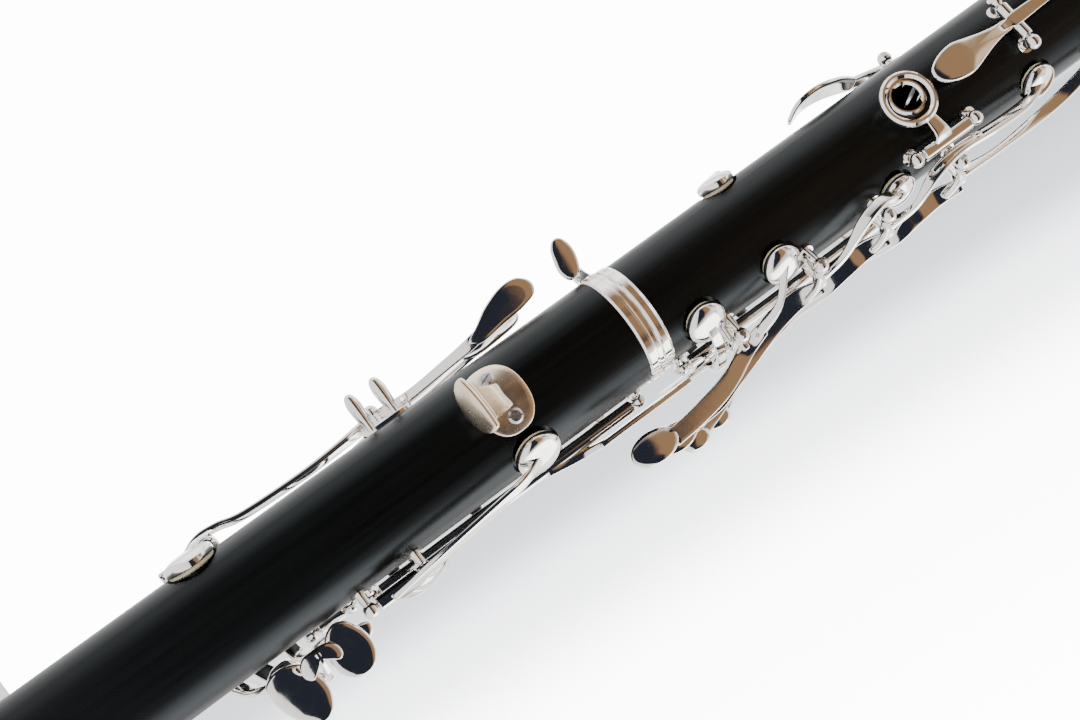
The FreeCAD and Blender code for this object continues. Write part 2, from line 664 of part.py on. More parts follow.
def make_ligature_screw(level):
    middle = V(0, screw_line, start_level + level)
    shaft = cylinder(middle, V(1, 0, 0), 0.9, 6.0, 6.0)
    head = spun([(0, 5.6), (2.0, 5.6), (3.0, 6.6), (3.0, 9.6), (2.2, 10.4), (0, 10.4)], middle, V(1, 0, 0))
    return joined([shaft, head])


keep("ligature_screws", Part.makeCompound([make_ligature_screw(level) for level in SCREW_LEVELS]))


# ---------------------------------------------------------------- thumb rest
def make_thumb_rest():
    """An oval plate curved to the body, with a lip that rises and leans out over the thumb."""
    middle = -38.9
    outer = LOWER_R + 1.25
    shell = cylinder(at(middle, 0, 0), AXIAL, outer, 12, 12)
    shell = shell.cut(cylinder(at(middle, 0, 0), AXIAL, LOWER_R, 13, 13))
    oval = Part.Ellipse(V(0, 0, 0), 8.3, 6.9).toShape()
    oval.Placement = FreeCAD.Placement(at(middle, 0, 5), FreeCAD.Rotation(V(1, 0, 0), V(0, 0, 1), V(0, -1, 0), "ZXY"))
    drum = Part.Face(Part.Wire([oval])).extrude(V(0, 14, 0))
    base = shell.common(drum)
    width = size("rest_width")
    reach = size("rest_reach")
    rows = [(-34.6, LOWER_R + 0.75, width - 0.6, 0.8), (-38.2, LOWER_R + 1.2, width - 0.2, 1.1),
            (-41.6, LOWER_R + 3.0, width, 1.8), (-43.9, LOWER_R + 5.6, width + 1.6, 2.2),
            (-45.2, reach - 2.4, width + 3.6, 2.2)]
    path = [at(s, 0, r) for s, r, _, _ in rows]
    band = arm(path, [w for _, _, w, _ in rows], [t for _, _, _, t in rows], flat=V(0, 0.55, 0.83))
    lip = plate([at(-45.6, a, r) for a, r in
                 ((0, reach), (11, reach - 0.6), (20, reach - 3.0), (23, LOWER_R + 5.0), (14, LOWER_R + 1.9),
                  (0, LOWER_R + 1.4), (-14, LOWER_R + 1.9), (-23, LOWER_R + 5.0), (-20, reach - 3.0),
                  (-11, reach - 0.6))], 1.7)
    rest = joined([base, band, lip]).cut(cylinder(at(middle, 0, 0), AXIAL, LOWER_R, 13, 13))
    holes = [cylinder(at(s, a, LOWER_R), outward(a), 1.1, 3, 6) for s, a in SCREW_SPOTS]
    sinks = [cylinder(at(s, a, LOWER_R + 0.8), outward(a), 1.9, 0, 6) for s, a in SCREW_SPOTS]
    return rest.cut(Part.makeCompound(holes + sinks))


def make_slotted_screw(station, angle, radius, depth):
    away = outward(angle)
    seat = at(station, angle, radius)
    screw = spun([(0, -depth), (1.1, -depth), (1.1, 0), (1.85, 0), (1.85, 0.35), (1.3, 0.75), (0, 0.8)], seat, away)
    slot = Part.makeBox(0.4, 5, 0.5, V(-0.2, -2.5, 0.4))
    slot.Placement = FreeCAD.Placement(seat, FreeCAD.Rotation(AXIAL, away))
    return screw.cut(slot)


keep("thumb_rest", make_thumb_rest())
keep("thumb_rest_screws", Part.makeCompound(
    [make_slotted_screw(s, a, LOWER_R + 0.8, 5.2) for s, a in SCREW_SPOTS]))

# ---------------------------------------------------------------- bore inserts
BACK = V(0, 1, 0)
thumb_insert = spun([(3.4, 6.9), (4.8, 6.9), (4.8, 18.2), (4.3, 18.8), (3.9, 18.8), (3.4, 18.2)],
                    at(THUMB_HOLE, 0, 0), BACK)
vent_insert = spun([(1.5, 5.2), (2.6, 5.2), (2.6, UPPER_R + 1.3), (1.5, UPPER_R + 1.3)],
                   at(VENT_STATION, 0, 0), BACK)
keep("bore_inserts", Part.makeCompound([thumb_insert, vent_insert]))


# ---------------------------------------------------------------- ring keys
def finger_ring(station, angle, centre_radius, shift=0.0):
    """A finger ring lying round a chimney, in the pressed position."""
    away = outward(angle)
    inner = size("ring_inner_radius")
    outer = size("ring_outer_radius")
    tall = size("ring_height")
    base = V(0, 0, JOINT + station) + away * centre_radius + sideways(angle) * shift
    return spun([(inner, 0.3), (inner + 0.3, 0), (outer - 0.3, 0), (outer, 0.3), (outer, tall - 0.5),
                 (outer - 0.5, tall), (inner + 0.5, tall), (inner, tall - 0.5)], base, away)


RING_BASE = LOWER_R + 0.3
RING_LIFT = 6.0


def ring_link(name, station):
    """The short arm from a ring key's tube to the rim of a finger ring."""
    _, _, angle, radius = AXIAL_HINGES[name]
    rim = at(station, 180, RING_BASE + 0.85) + V(-6.9, 0, 0)
    path = [at(station, angle, radius), at(station, angle - 14, radius + 0.6), rim]
    return arm(path, [4.6, 3.8, 3.4], [1.8, 1.5, 1.2])


def make_ring_key(name, stations, bridge):
    """A tube with finger rings, a padded cup and the bridge lever that meets the other joint."""
    station, angle, diameter, _ = PADS[name]
    _, _, hinge_angle, radius = AXIAL_HINGES[name]
    pieces = [tube(name)]
    for ring_station in stations:
        pieces.append(finger_ring(ring_station, 180, RING_BASE, -0.35))
        pieces.append(ring_link(name, ring_station))
    pieces.append(make_cup(station, angle, diameter))
    far = angle - 360.0 if angle > 0 else angle
    between = [at(station, hinge_angle + (far - hinge_angle) * part, radius + rise)
               for part, rise in ((0.3, 1.3), (0.7, 1.2))]
    pieces.append(arm([at(station, hinge_angle, radius)] + between + [at(station, angle, seat_radius(station) + 3.05)],
                      [4.4, 3.6, 3.2, 3.0], [1.8, 1.5, 1.4, 1.3]))
    start, finish, offset, root_low, root_high = bridge
    beside = sideways(hinge_angle) * offset
    height = radius + 3.0
    pieces.append(arm([at(s, hinge_angle, height) + beside for s in (start, (start + finish) / 2.0, finish)],
                      [3.3, 3.5, 3.3], [1.5, 1.5, 1.5]))
    pieces.append(arm([at(root_low, hinge_angle, radius + 1.0), at((root_low + root_high) / 2.0, hinge_angle, radius + 2.2),
                       at(root_high, hinge_angle, height) + beside * 0.9], [3.2, 3.4, 3.2], [1.9, 2.0, 1.5]))
    return opened(bored(joined(pieces), name), name, -RING_LIFT)


keep("lower_ring_key", make_ring_key("lower_rings", [-30.0, -54.0, -78.0], (-22.0, 4.6, 1.95, -36.0, -20.0)))
keep("upper_ring_key", make_ring_key("upper_rings", [28.0, 51.0], (15.0, -1.2, -1.95, 22.5, 13.5)))


# ---------------------------------------------------------------- other axial keys
def make_sliver_lower():
    station, angle, diameter, _ = PADS["sliver_lower"]
    cup_top = seat_radius(station) + 3.1
    long_arm = arm([at(-82, -88, 20.0), at(-78, -81.5, 20.3), at(-74, -77.5, 20.2), at(-64, -74, 19.8), at(-52, -70, 19.2),
                    at(-44, -67, 18.6), at(station, angle, cup_top - 0.1)],
                   [5.4, 4.2, 3.6, 3.8, 3.4, 2.8, 2.6], [1.7, 1.5, 1.5, 1.4, 1.4, 1.3, 1.2])
    finger = arm([at(-80.5, -94, 20.0), at(-76, -106, 21.4), at(-70, -122, 21.6), at(-66, -136, 20.4), at(-66, -144, 20.0)],
                 [4.0, 3.6, 3.8, 6.0, 4.0], [1.6, 1.4, 1.4, 1.3, 1.0])
    return bored(joined([tube("sliver_lower"), long_arm, finger, make_cup(station, angle, diameter)]), "sliver_lower")


def make_a_flat():
    station, angle, diameter, _ = PADS["a_flat"]
    link = arm([at(-96.5, -134, 18.2), at(-96, -148, 18.2), at(station, angle, seat_radius(station) + 3.05)],
               [4.6, 4.0, 3.2], [1.8, 1.5, 1.2])
    stalk = arm([at(-97, -134, 18.2), at(-96.5, -129, 20.0), at(-95.5, -128, 22.4)], [4.2, 3.8, 4.0], [1.8, 1.6, 1.5])
    touch = plate([at(s, -128, 0) + outward(-128) * r for s, r in
                   ((-89.5, 22.6), (-89, 25.4), (-91, 28.2), (-95, 29.2), (-99, 28.4), (-101.2, 25.6), (-100.4, 22.8),
                    (-95, 21.2))],
                  1.5)
    return bored(joined([tube("a_flat"), link, stalk, touch, make_cup(station, angle, diameter)]), "a_flat")


LEAF_ANGLE = -108.0
UPPER_LEAF = [(-94.6, 16.6), (-92.6, 20.0), (-92.0, 24.0), (-93.3, 27.4), (-96.0, 29.2), (-99.8, 28.6),
              (-102.2, 25.6), (-102.6, 21.5), (-101.0, 17.6), (-97.8, 15.6)]
LOWER_LEAF = [(-117.2, 17.0), (-117.8, 20.5), (-117.0, 25.0), (-114.7, 29.0), (-111.0, 31.8), (-107.6, 30.4),
              (-105.6, 26.0), (-106.2, 21.0), (-108.2, 17.4), (-113.0, 15.6)]


def make_f_sharp():
    station, angle, diameter, _ = PADS["f_sharp"]
    round_front = arm([at(-107.7, 180, 17.6), at(-107.7, 150, 17.1), at(-107.9, 122, 16.9), at(-108.4, 98, 17.0),
                       at(-110.4, 78, 17.3), at(station, angle, seat_radius(station) + 3.05)],
                      [4.0, 3.6, 3.4, 3.4, 3.2, 3.0], [1.8, 1.4, 1.4, 1.4, 1.4, 1.2])
    reach = arm([at(-107.7, 180, 17.6), at(-107.2, -160, 19.8), at(-106.2, -138, 21.1), at(-101.6, -119, 19.2),
                 at(-98.6, LEAF_ANGLE, 18.6)],
                [4.2, 3.8, 3.6, 3.6, 3.4], [1.8, 1.5, 1.5, 1.5, 1.1], ending=sideways(LEAF_ANGLE))
    leaf = fin(UPPER_LEAF, LEAF_ANGLE, 1.5)
    return bored(joined([tube("f_sharp"), round_front, reach, leaf, make_cup(station, angle, diameter)]), "f_sharp")


F_LIFT = 7.0
E_LIFT = 6.0


def make_f():
    station, angle, diameter, _ = PADS["f"]
    link = arm([at(station, 148, 17.6), at(station, 163, 18.6), at(station, angle, seat_radius(station) + 3.05)],
               [5.2, 4.4, 3.6], [1.8, 1.6, 1.3])
    reach = arm([at(-119.8, 148, 17.6), at(-119.6, 165, 19.8), at(-118.2, -172, 21.0), at(-115.0, -153, 23.4),
                 at(-112.0, -138.5, 24.6)],
                [4.2, 3.8, 3.8, 4.2, 5.0], [1.8, 1.5, 1.5, 1.5, 1.1])
    touch = plate([V(x, -18.2, JOINT + s) for x, s in
                   ((-13, -107.5), (-17, -106.4), (-21, -107.4), (-23.5, -111.5),
                    (-22, -115.5), (-18, -117.0), (-13.5, -115.5), (-11.8, -111.5))], 1.5)
    stem = arm([V(-15.6, -18.0, JOINT - 108.4), V(-19.3, -15.0, JOINT - 105.8), V(-21.8, -9.5, JOINT - 104.2),
                V(-21.2, -3.8, JOINT - 104.2), V(-18.8, -0.4, JOINT - 104.2), V(-16.8, 0.6, JOINT - 104.2)],
               [2.6, 2.4, 2.4, 2.4, 2.6, 2.8], [1.7, 1.5, 1.5, 1.5, 1.5, 1.4], flat=AXIAL)
    foot = fin([(-104.2, 15.6), (-107.6, 15.9), (-109.3, 17.6), (-109.4, 20.0), (-107.8, 21.3), (-105.6, 19.0),
                (-104.2, 18.2), (-102.6, 19.0), (-100.6, 21.0), (-99.2, 20.0), (-99.4, 17.6), (-101.2, 16.0)],
               LEAF_ANGLE + 20.0, 1.4, False)
    return opened(bored(joined([tube("f"), link, reach, touch, stem, foot, make_cup(station, angle, diameter)]), "f"), "f",
                  F_LIFT)


def make_e():
    station, angle, diameter, _ = PADS["e"]
    link = arm([at(station, 124, 16.7), at(station, 143, 18.3), at(station, 163, 17.9),
                at(station, angle, seat_radius(station) + 3.05)],
               [5.4, 4.6, 4.2, 3.8], [1.8, 1.6, 1.4, 1.3])
    reach = arm([at(-122.6, 124, 16.7), at(-123.4, 142, 20.3), at(-123.8, 160, 21.0), at(-123.8, -178, 20.4),
                 at(-123.2, -155, 19.4), at(-120.5, -132, 18.6), at(-116.5, -114, 19.0), at(-113.2, LEAF_ANGLE, 20.6)],
                [4.2, 3.8, 3.8, 3.8, 3.8, 3.8, 3.8, 3.6], [1.8, 1.5, 1.5, 1.5, 1.5, 1.5, 1.5, 1.1],
                ending=sideways(LEAF_ANGLE))
    leaf = fin(LOWER_LEAF, LEAF_ANGLE, 1.5)
    lug = arm([at(-120.2, 124, 16.7), at(-120.2, 114, 18.7), at(-120.2, 104, 18.6)], [3.4, 3.2, 3.6], [1.7, 1.4, 1.3])
    return opened(bored(joined([tube("e"), link, reach, leaf, lug, make_cup(station, angle, diameter)]), "e"), "e", E_LIFT)


def make_c_sharp():
    station, angle, diameter, _ = PADS["c_sharp"]
    right = arm([at(13.5, 180, 17.2), at(13.6, -160, 18.8), at(13.6, -140, 21.2), at(13.6, -118, 22.2),
                 at(13.3, -96, 19.4), at(12.9, -76, 17.4), at(station, angle, seat_radius(station) + 3.05)],
                [4.0, 3.4, 3.0, 2.9, 2.9, 2.8, 2.6], [1.7, 1.3, 1.3, 1.3, 1.3, 1.3, 1.2])
    left = arm([at(10.5, 180, 17.2), at(8.5, 158, 17.6), at(5.0, 132, 17.8), at(0.5, 110, 17.6), at(-2.0, 89, 19.2)],
               [4.0, 3.8, 3.6, 3.8, 3.6], [1.7, 1.5, 1.5, 1.5, 1.1], ending=sideways(88))
    touch = fin([(-4.4, 16.8), (-5.2, 19.4), (-4.6, 22.4), (-3.2, 25.6), (-1.2, 27.2), (0.6, 26.4), (1.4, 23.6),
                 (0.9, 20.4), (-0.6, 17.4), (-2.6, 16.2)], 88, 1.4)
    return bored(joined([tube("c_sharp"), right, left, touch, make_cup(station, angle, diameter)]), "c_sharp")


def make_sliver_upper():
    station, angle, diameter, _ = PADS["sliver_upper"]
    link = arm([at(46.5, 124, 17.2), at(44.5, 108, 17.0), at(41.0, 90, 16.9), at(station, angle, seat_radius(station) + 3.05)],
               [4.0, 3.4, 3.0, 2.6], [1.7, 1.3, 1.3, 1.2])
    finger = arm([at(46.5, 124, 17.2), at(45.4, 136, 18.9), at(41.0, 148, 18.9), at(39.4, 160, 18.4)],
                 [3.8, 3.2, 4.6, 3.4], [1.7, 1.3, 1.3, 1.0])
    return bored(joined([tube("sliver_upper"), link, finger, make_cup(station, angle, diameter)]), "sliver_upper")


def make_thumb_ring():
    """The thumb's ring round its metal chimney, in the pressed position, on its own short hinge."""
    ring = spun([(5.35, 0.3), (5.65, 0), (6.85, 0), (7.15, 0.3), (7.15, 1.1), (6.6, 1.7), (6.0, 1.7), (5.35, 1.1)],
                at(THUMB_HOLE, 0, 16.7) + V(-0.2, 0, 0), BACK)
    link = arm([at(86.5, -47, 17.0), at(86.2, -36, 18.2), at(85.0, -20.5, 18.4)], [6.4, 4.2, 3.0], [1.8, 1.5, 1.2])
    return opened(bored(joined([tube("thumb_ring"), ring, link]), "thumb_ring"), "thumb_ring", 4.0)


keep("sliver_key_lower", make_sliver_lower())
keep("a_flat_key", make_a_flat())
keep("f_sharp_key", make_f_sharp())
keep("f_key", make_f())
keep("e_key", make_e())
keep("c_sharp_key", make_c_sharp())
keep("sliver_key_upper", make_sliver_upper())
keep("thumb_ring_key", make_thumb_ring())


# ---------------------------------------------------------------- side keys
# Each side lever: (station, angle, radius, height) points of its strap from the touch up, points of
# the link from the strap to the hinge tube, points from the hinge to the cup, and its touch.
SIDE_LEVERS = {
    "side_1": ([(-9.0, -92, 28.5, 4.4), (-2.0, -92, 27.9, 4.6), (6.0, -92, 26.7, 4.6), (12.0, -92, 25.0, 4.2),
                (18.5, -92, 22.2, 4.0), (24.0, -88, 20.9, 3.4)],
               [],
               [(22.0, -90, 21.0), (30.0, -77, 19.8)],
               (-14.0, -92, 27.5, 6.5, 4.2, 1.5)),
    "side_2": ([(-2.0, -106, 28.8, 3.0), (6.0, -103, 28.2, 3.0), (12.0, -100, 26.6, 2.8), (18.5, -100, 24.9, 2.8),
                (28.0, -100, 22.6, 3.0), (36.5, -97, 21.4, 3.0)],
               [(34.0, -98, 21.5), (37.4, -93, 21.4), (39.2, -86, 20.7), (43.5, -78, 19.6)],
               [(50.0, -72, 20.4), (58.0, -60, 19.0), (65.0, -55, 18.4), (70.0, -63, 17.6)],
               (-6.5, -107, 28.6, 6.0, 3.6, 1.5)),
    "side_3": ([(1.0, -114, 32.2, 2.6), (8.0, -116, 30.4, 2.6), (20.0, -119, 26.6, 2.6), (34.0, -118, 22.9, 2.6),
                (48.0, -112, 21.6, 2.6), (57.5, -101, 21.4, 2.8)],
               [(55.0, -104, 21.5), (58.8, -97, 21.4), (60.7, -88, 20.7), (65.0, -78, 19.6)],
               [(72.0, -70, 20.6), (80.0, -61, 19.6), (89.0, -58, 18.9), (100.0, -61, 18.9), (111.0, -64, 18.2)],
               (-1.5, -114, 32.6, 4.0, 2.7, 2.4)),
    "side_4": ([(10.5, -126, 33.4, 2.6), (17.0, -128, 30.0, 2.6), (26.0, -130, 25.8, 2.6), (38.0, -128, 22.9, 2.4),
                (56.0, -124, 21.8, 2.4), (72.0, -115, 21.5, 2.6), (80.5, -104, 21.4, 2.8)],
               [(78.5, -107, 21.5), (82.8, -99, 21.4), (84.7, -90, 20.7), (89.0, -80, 19.6)],
               [(100.0, -82, 20.6), (119.0, -84, 19.6), (131.0, -79, 18.4)],
               (8.0, -126, 34.0, 4.0, 2.7, 2.4)),
}
TOUCH_TILT = math.radians(35)


def make_side_key(name):
    """A strap on edge from an oval touch to the cross hinge, and the arm from there to the cup."""
    strap, link, beyond, touch = SIDE_LEVERS[name]
    station, pad_angle, diameter, _ = PADS[name]
    hinge_station, hinge_angle, radius, _ = CROSS_HINGES[name]
    middle_angle = strap[len(strap) // 2][1]
    pieces = [tube(name)]
    if link:
        pieces.append(arm([at(*point) for point in link], [3.0, 3.0, 2.8, 2.8], [1.6, 1.6, 1.6, 1.8]))
    else:
        pieces.append(arm([at(hinge_station, hinge_angle, radius), at(hinge_station, hinge_angle, radius + 2.4)],
                          [3.8, 3.4], [2.0, 2.0], flat=AXIAL))
    pieces.append(arm([at(s, a, r) for s, a, r, _ in strap], [height for _, _, _, height in strap],
                      [1.5] * len(strap), flat=sideways(middle_angle)))
    start = [] if not link else [at(hinge_station, hinge_angle, radius + 0.7)]
    path = start + [at(*point) for point in beyond] + [at(station, pad_angle, seat_radius(station) + 3.05)]
    pieces.append(arm(path, [3.0] + [2.6] * (len(path) - 2) + [2.4], [1.5] * (len(path) - 1) + [1.2]))
    touch_station, touch_angle, touch_radius, half_length, half_width, thickness = touch
    across = outward(touch_angle) * math.cos(TOUCH_TILT) + sideways(touch_angle) * math.sin(TOUCH_TILT)
    middle = at(touch_station, touch_angle, touch_radius)
    rim = [middle + across * (half_width * math.cos(t)) + AXIAL * (half_length * math.sin(t))
           for t in [math.radians(a) for a in range(0, 360, 45)]]
    pieces.append(plate(rim, thickness))
    pieces.append(make_cup(station, pad_angle, diameter))
    return bored(joined(pieces), name)


for side in ("side_1", "side_2", "side_3", "side_4"):
    keep(side + "_key", make_side_key(side))


# ---------------------------------------------------------------- register and throat keys
def make_register():
    """The teardrop thumb lever, its cross hinge and the long arm to the vent's cup."""
    height = 17.4
    outline = [(93.0, 0.0), (94.0, 2.2), (97.5, 4.0), (102.0, 4.6), (106.5, 3.4), (110.0, 2.1), (113.0, 1.1)]
    points = [V(x, height, JOINT + s) for s, x in outline]
    points += [V(-x, height, JOINT + s) for s, x in reversed(outline[1:])]
    touch = plate(points, 1.9, False)
    cup = make_cup(VENT_STATION, 0, 8.4, UPPER_R + 1.3)
    link = arm([at(109.0, 0, 17.4), at(114.5, 0, 17.5), at(119.5, 0, 17.9), at(128, 0, 18.6), at(140, 0, 18.8), at(148, 0, 18.6),
                at(VENT_STATION, 0, 18.1)],
               [2.0, 2.6, 3.6, 3.0, 2.8, 2.8, 2.8], [2.6, 2.4, 2.2, 1.5, 1.4, 1.4, 1.3])
    return bored(joined([tube("register"), touch, cup, link]), "register")


def make_throat_a():
    station, angle, diameter, _ = PADS["throat_a"]
    link = arm([at(104, 172, 18.4), at(112, 172, 18.2), at(119, 172, 18.0), at(126, 172, 18.4),
                at(station, angle, seat_radius(station) + 3.05)],
               [5.0, 3.4, 3.4, 3.0, 2.6], [1.4, 1.5, 1.8, 1.4, 1.2])
    touch = plate([at(s, 172, 18.4) + sideways(172) * x for s, x in
                   ((90, 0), (92, 3.0), (97, 4.2), (102, 3.4), (106, 1.8), (106, -1.8), (102, -3.4), (97, -4.2), (92, -3.0))], 1.4)
    return bored(joined([tube("throat_a"), link, touch, make_cup(station, angle, diameter)]), "throat_a")


def make_throat_g_sharp():
    station, angle, diameter, _ = PADS["throat_g_sharp"]
    link = arm([at(86, 104, 17.6), at(92, 112, 18.0), at(98, 118, 18.0), at(105, 123, 18.2),
                at(station, angle, seat_radius(station) + 3.05)],
               [3.6, 3.4, 3.4, 3.0, 2.6], [1.4, 1.5, 1.8, 1.4, 1.2])
    touch = arm([at(65.5, 92, 17.2), at(69.5, 90, 18.7), at(75, 90, 19.0), at(81, 94, 18.2), at(87, 105, 17.6)],
                [3.0, 7.6, 8.6, 6.6, 3.8], [1.0, 1.4, 1.5, 1.4, 1.4])
    return bored(joined([tube("throat_g_sharp"), link, touch, make_cup(station, angle, diameter)]), "throat_g_sharp")


keep("register_key", make_register())
keep("throat_a_key", make_throat_a())
keep("throat_g_sharp_key", make_throat_g_sharp())


# ---------------------------------------------------------------- left-hand levers and their saddle
def half_tube(first):
    """The half of the levers' shared hinge that one lever turns on."""
    centre, direction, half = hinge_line("lever_e")
    reach = half - BALL_R - 0.1
    middle = 0.1
    if first:
        return cylinder(centre, direction, size("tube_radius"), reach, -middle)
    return cylinder(centre, direction, size("tube_radius"), -middle, reach)


def make_lever_e():
    spatula = fin([(-33.5, 18.2), (-29.5, 20.6), (-25.0, 23.2), (-19.5, 25.0), (-14.8, 24.8), (-12.2, 22.2),
                   (-13.0, 19.2), (-17.5, 17.8), (-24.0, 17.2), (-30.5, 16.6)], 86, 1.5, False)
    line = arm([at(-25, 86, 19.5), at(-33, 88, 18.2), at(-42, 95, 18.0), at(-51, 104, 18.6), at(-58, 110, 20.0), at(-64, 110.5, 20.2),
                at(-80, 109, 18.8), at(-98, 106, 18.8), at(-105, 104.5, 20.2), at(-110.5, 104, 20.2), at(-116.5, 104, 17.2),
                at(-121.0, 104, 15.7)],
               [3.2, 3.4, 3.2, 3.2, 3.4, 3.4, 3.0, 2.8, 2.8, 2.8, 2.6, 2.4],
               [1.4, 1.5, 1.5, 1.5, 1.6, 1.6, 1.4, 1.3, 1.3, 1.3, 1.3, 1.2])
    return bored(joined([half_tube(True), spatula, line]), "lever_e")


def make_lever_f_sharp():
    spatula = fin([(-35.5, 18.2), (-31.0, 19.8), (-26.0, 21.2), (-21.0, 21.6), (-18.0, 20.0), (-19.4, 17.8),
                   (-25.0, 16.9), (-32.0, 16.7)], 104, 1.4, False)
    line = arm([at(-27, 104, 18.6), at(-36, 107, 18.2), at(-46, 116, 18.6), at(-56, 124, 20.0), at(-64, 124.5, 20.2),
                at(-80, 130, 18.6), at(-94, 129, 17.2), at(-102, 127, 15.7), at(-108.6, 126, 15.0)],
               [3.0, 3.2, 3.2, 3.4, 3.4, 3.0, 2.8, 2.4, 2.2], [1.4, 1.5, 1.5, 1.6, 1.6, 1.3, 1.2, 1.0, 0.8])
    return bored(joined([half_tube(False), spatula, line]), "lever_e")


def make_saddle():
    """A curved base screwed to the wood, with cheeks for the levers' rod and two tall guides."""
    centre, direction, half = hinge_line("lever_e")
    shell = cylinder(at(-60, 0, 0), AXIAL, LOWER_R + 1.1, 6.6, 7.4)
    shell = shell.cut(cylinder(at(-60, 0, 0), AXIAL, LOWER_R, 8, 8))
    wedge = Part.Face(Part.makePolygon([V(0, 0, JOINT - 70), at(-70, 74, 30), at(-70, 108, 34), at(-70, 146, 30),
                                        V(0, 0, JOINT - 70)])).extrude(V(0, 0, 20))
    base = shell.common(wedge)
    cheeks = []
    for side in (-1, 1):
        spot = centre + direction * (side * half)
        away = V(spot.x, spot.y, 0).normalize()
        root = V(0, 0, spot.z) + away * (LOWER_R + 0.4)
        cheeks.append(Part.makeSphere(BALL_R, spot))
        cheeks.append(Part.makeCone(1.6, 1.1, V(spot.x, spot.y, 0).Length - LOWER_R - 1.0, root, away))
    guides = []
    for station in (-64.2, -57.2):
        guides.append(arm([at(station, 79, LOWER_R + 0.5), at(station, 79, 17.5), at(station, 79, 21.0), at(station, 79, 23.4),
                           at(station, 79, 24.8)], [1.7, 2.4, 3.3, 3.1, 1.2], [1.6, 2.2, 3.0, 2.8, 1.0], flat=AXIAL))
    saddle = joined([base] + cheeks + guides)
    saddle = saddle.cut(cylinder(at(-60, 0, 0), AXIAL, LOWER_R, 8, 8))
    saddle = saddle.cut(cylinder(centre, direction, size("rod_radius"), half + 3, half + 3))
    holes = [cylinder(at(-54.5, a, LOWER_R), outward(a), 1.1, 3, 6) for a in (90.0, 130.0)]
    return saddle.cut(Part.makeCompound(holes))


keep("e_lever", make_lever_e())
keep("f_sharp_lever", make_lever_f_sharp())
keep("lever_saddle", make_saddle())
keep("saddle_screws", Part.makeCompound(
    [make_slotted_screw(-54.5, a, LOWER_R + 1.1, 5.0) for a in (90.0, 130.0)]))

# ---------------------------------------------------------------- pads
OPEN_KEYS = {"lower_rings": -RING_LIFT, "upper_rings": -RING_LIFT, "f": F_LIFT, "e": E_LIFT}
PAD_NODES = {"lower_rings": "lower_ring_pad", "upper_rings": "upper_ring_pad", "sliver_lower": "sliver_pad_lower",
             "sliver_upper": "sliver_pad_upper"}
for name, (station, angle, diameter, _) in PADS.items():
    pad = make_pad(station, angle, diameter)
    if name in OPEN_KEYS:
        pad = opened(pad, name, OPEN_KEYS[name])
    keep(PAD_NODES.get(name, name + "_pad"), pad)
keep("register_pad", make_pad(VENT_STATION, 0, 8.4, UPPER_R + 1.3))

# ---------------------------------------------------------------- posts, rods and springs
lower_names = ["lower_rings", "sliver_lower", "a_flat", "f_sharp", "f", "e"]
upper_names = [n for n in list(AXIAL_HINGES) + list(CROSS_HINGES) if n not in lower_names and n != "lever_e"]
for node, names in (("posts_lower", lower_names), ("posts_upper", upper_names)):
    keep(node, Part.makeCompound([make_post(p, hinge_line(n)[1]) for n in names for p in post_points(n)]))
keep("rods_lower", Part.makeCompound([make_rod(n) for n in lower_names + ["lever_e"]]))
keep("rods_upper", Part.makeCompound([make_rod(n) for n in upper_names]))

# ---------------------------------------------------------------- checks and export
doc.recompute()
for item in doc.Objects:
    if "Invalid" in item.State or "Error" in item.State:
        raise RuntimeError("feature failed: " + item.Name)
os.makedirs("parts", exist_ok=True)
exports = {}
faults = []
for node, held in results.items():
    shapes = [feature.Shape for feature in (held if isinstance(held, list) else [held])]
    faults += [node for shape in shapes if shape.isNull() or not shape.isValid()]
    exports[node] = shapes[0] if len(shapes) == 1 else Part.makeCompound(shapes)
    print(node, "solids", len(exports[node].Solids), "volume %.1f" % exports[node].Volume)
if faults:
    raise RuntimeError("bad shapes: " + ", ".join(faults))
for node, shape in exports.items():
    feature = doc.addObject("Part::Feature", "node_" + node)
    feature.Shape = shape
    feature.Label = node
    shape.exportStep("parts/%s.step" % node)
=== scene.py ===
import json
import math

import bmesh
import bpy
from mathutils import Matrix, Vector


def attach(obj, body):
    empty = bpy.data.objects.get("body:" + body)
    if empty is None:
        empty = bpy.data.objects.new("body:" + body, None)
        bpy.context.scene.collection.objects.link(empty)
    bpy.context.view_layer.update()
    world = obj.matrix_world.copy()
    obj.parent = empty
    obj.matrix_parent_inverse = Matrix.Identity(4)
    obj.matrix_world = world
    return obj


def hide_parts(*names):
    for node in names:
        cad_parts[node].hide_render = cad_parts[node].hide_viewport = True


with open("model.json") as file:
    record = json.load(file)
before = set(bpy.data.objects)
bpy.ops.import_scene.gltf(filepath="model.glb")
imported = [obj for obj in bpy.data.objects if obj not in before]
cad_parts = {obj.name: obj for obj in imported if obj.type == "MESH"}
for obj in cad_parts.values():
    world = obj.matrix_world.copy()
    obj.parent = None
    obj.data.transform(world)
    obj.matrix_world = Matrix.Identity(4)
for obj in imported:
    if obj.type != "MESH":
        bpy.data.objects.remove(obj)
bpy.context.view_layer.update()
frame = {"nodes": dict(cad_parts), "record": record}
NODES = frame["nodes"]

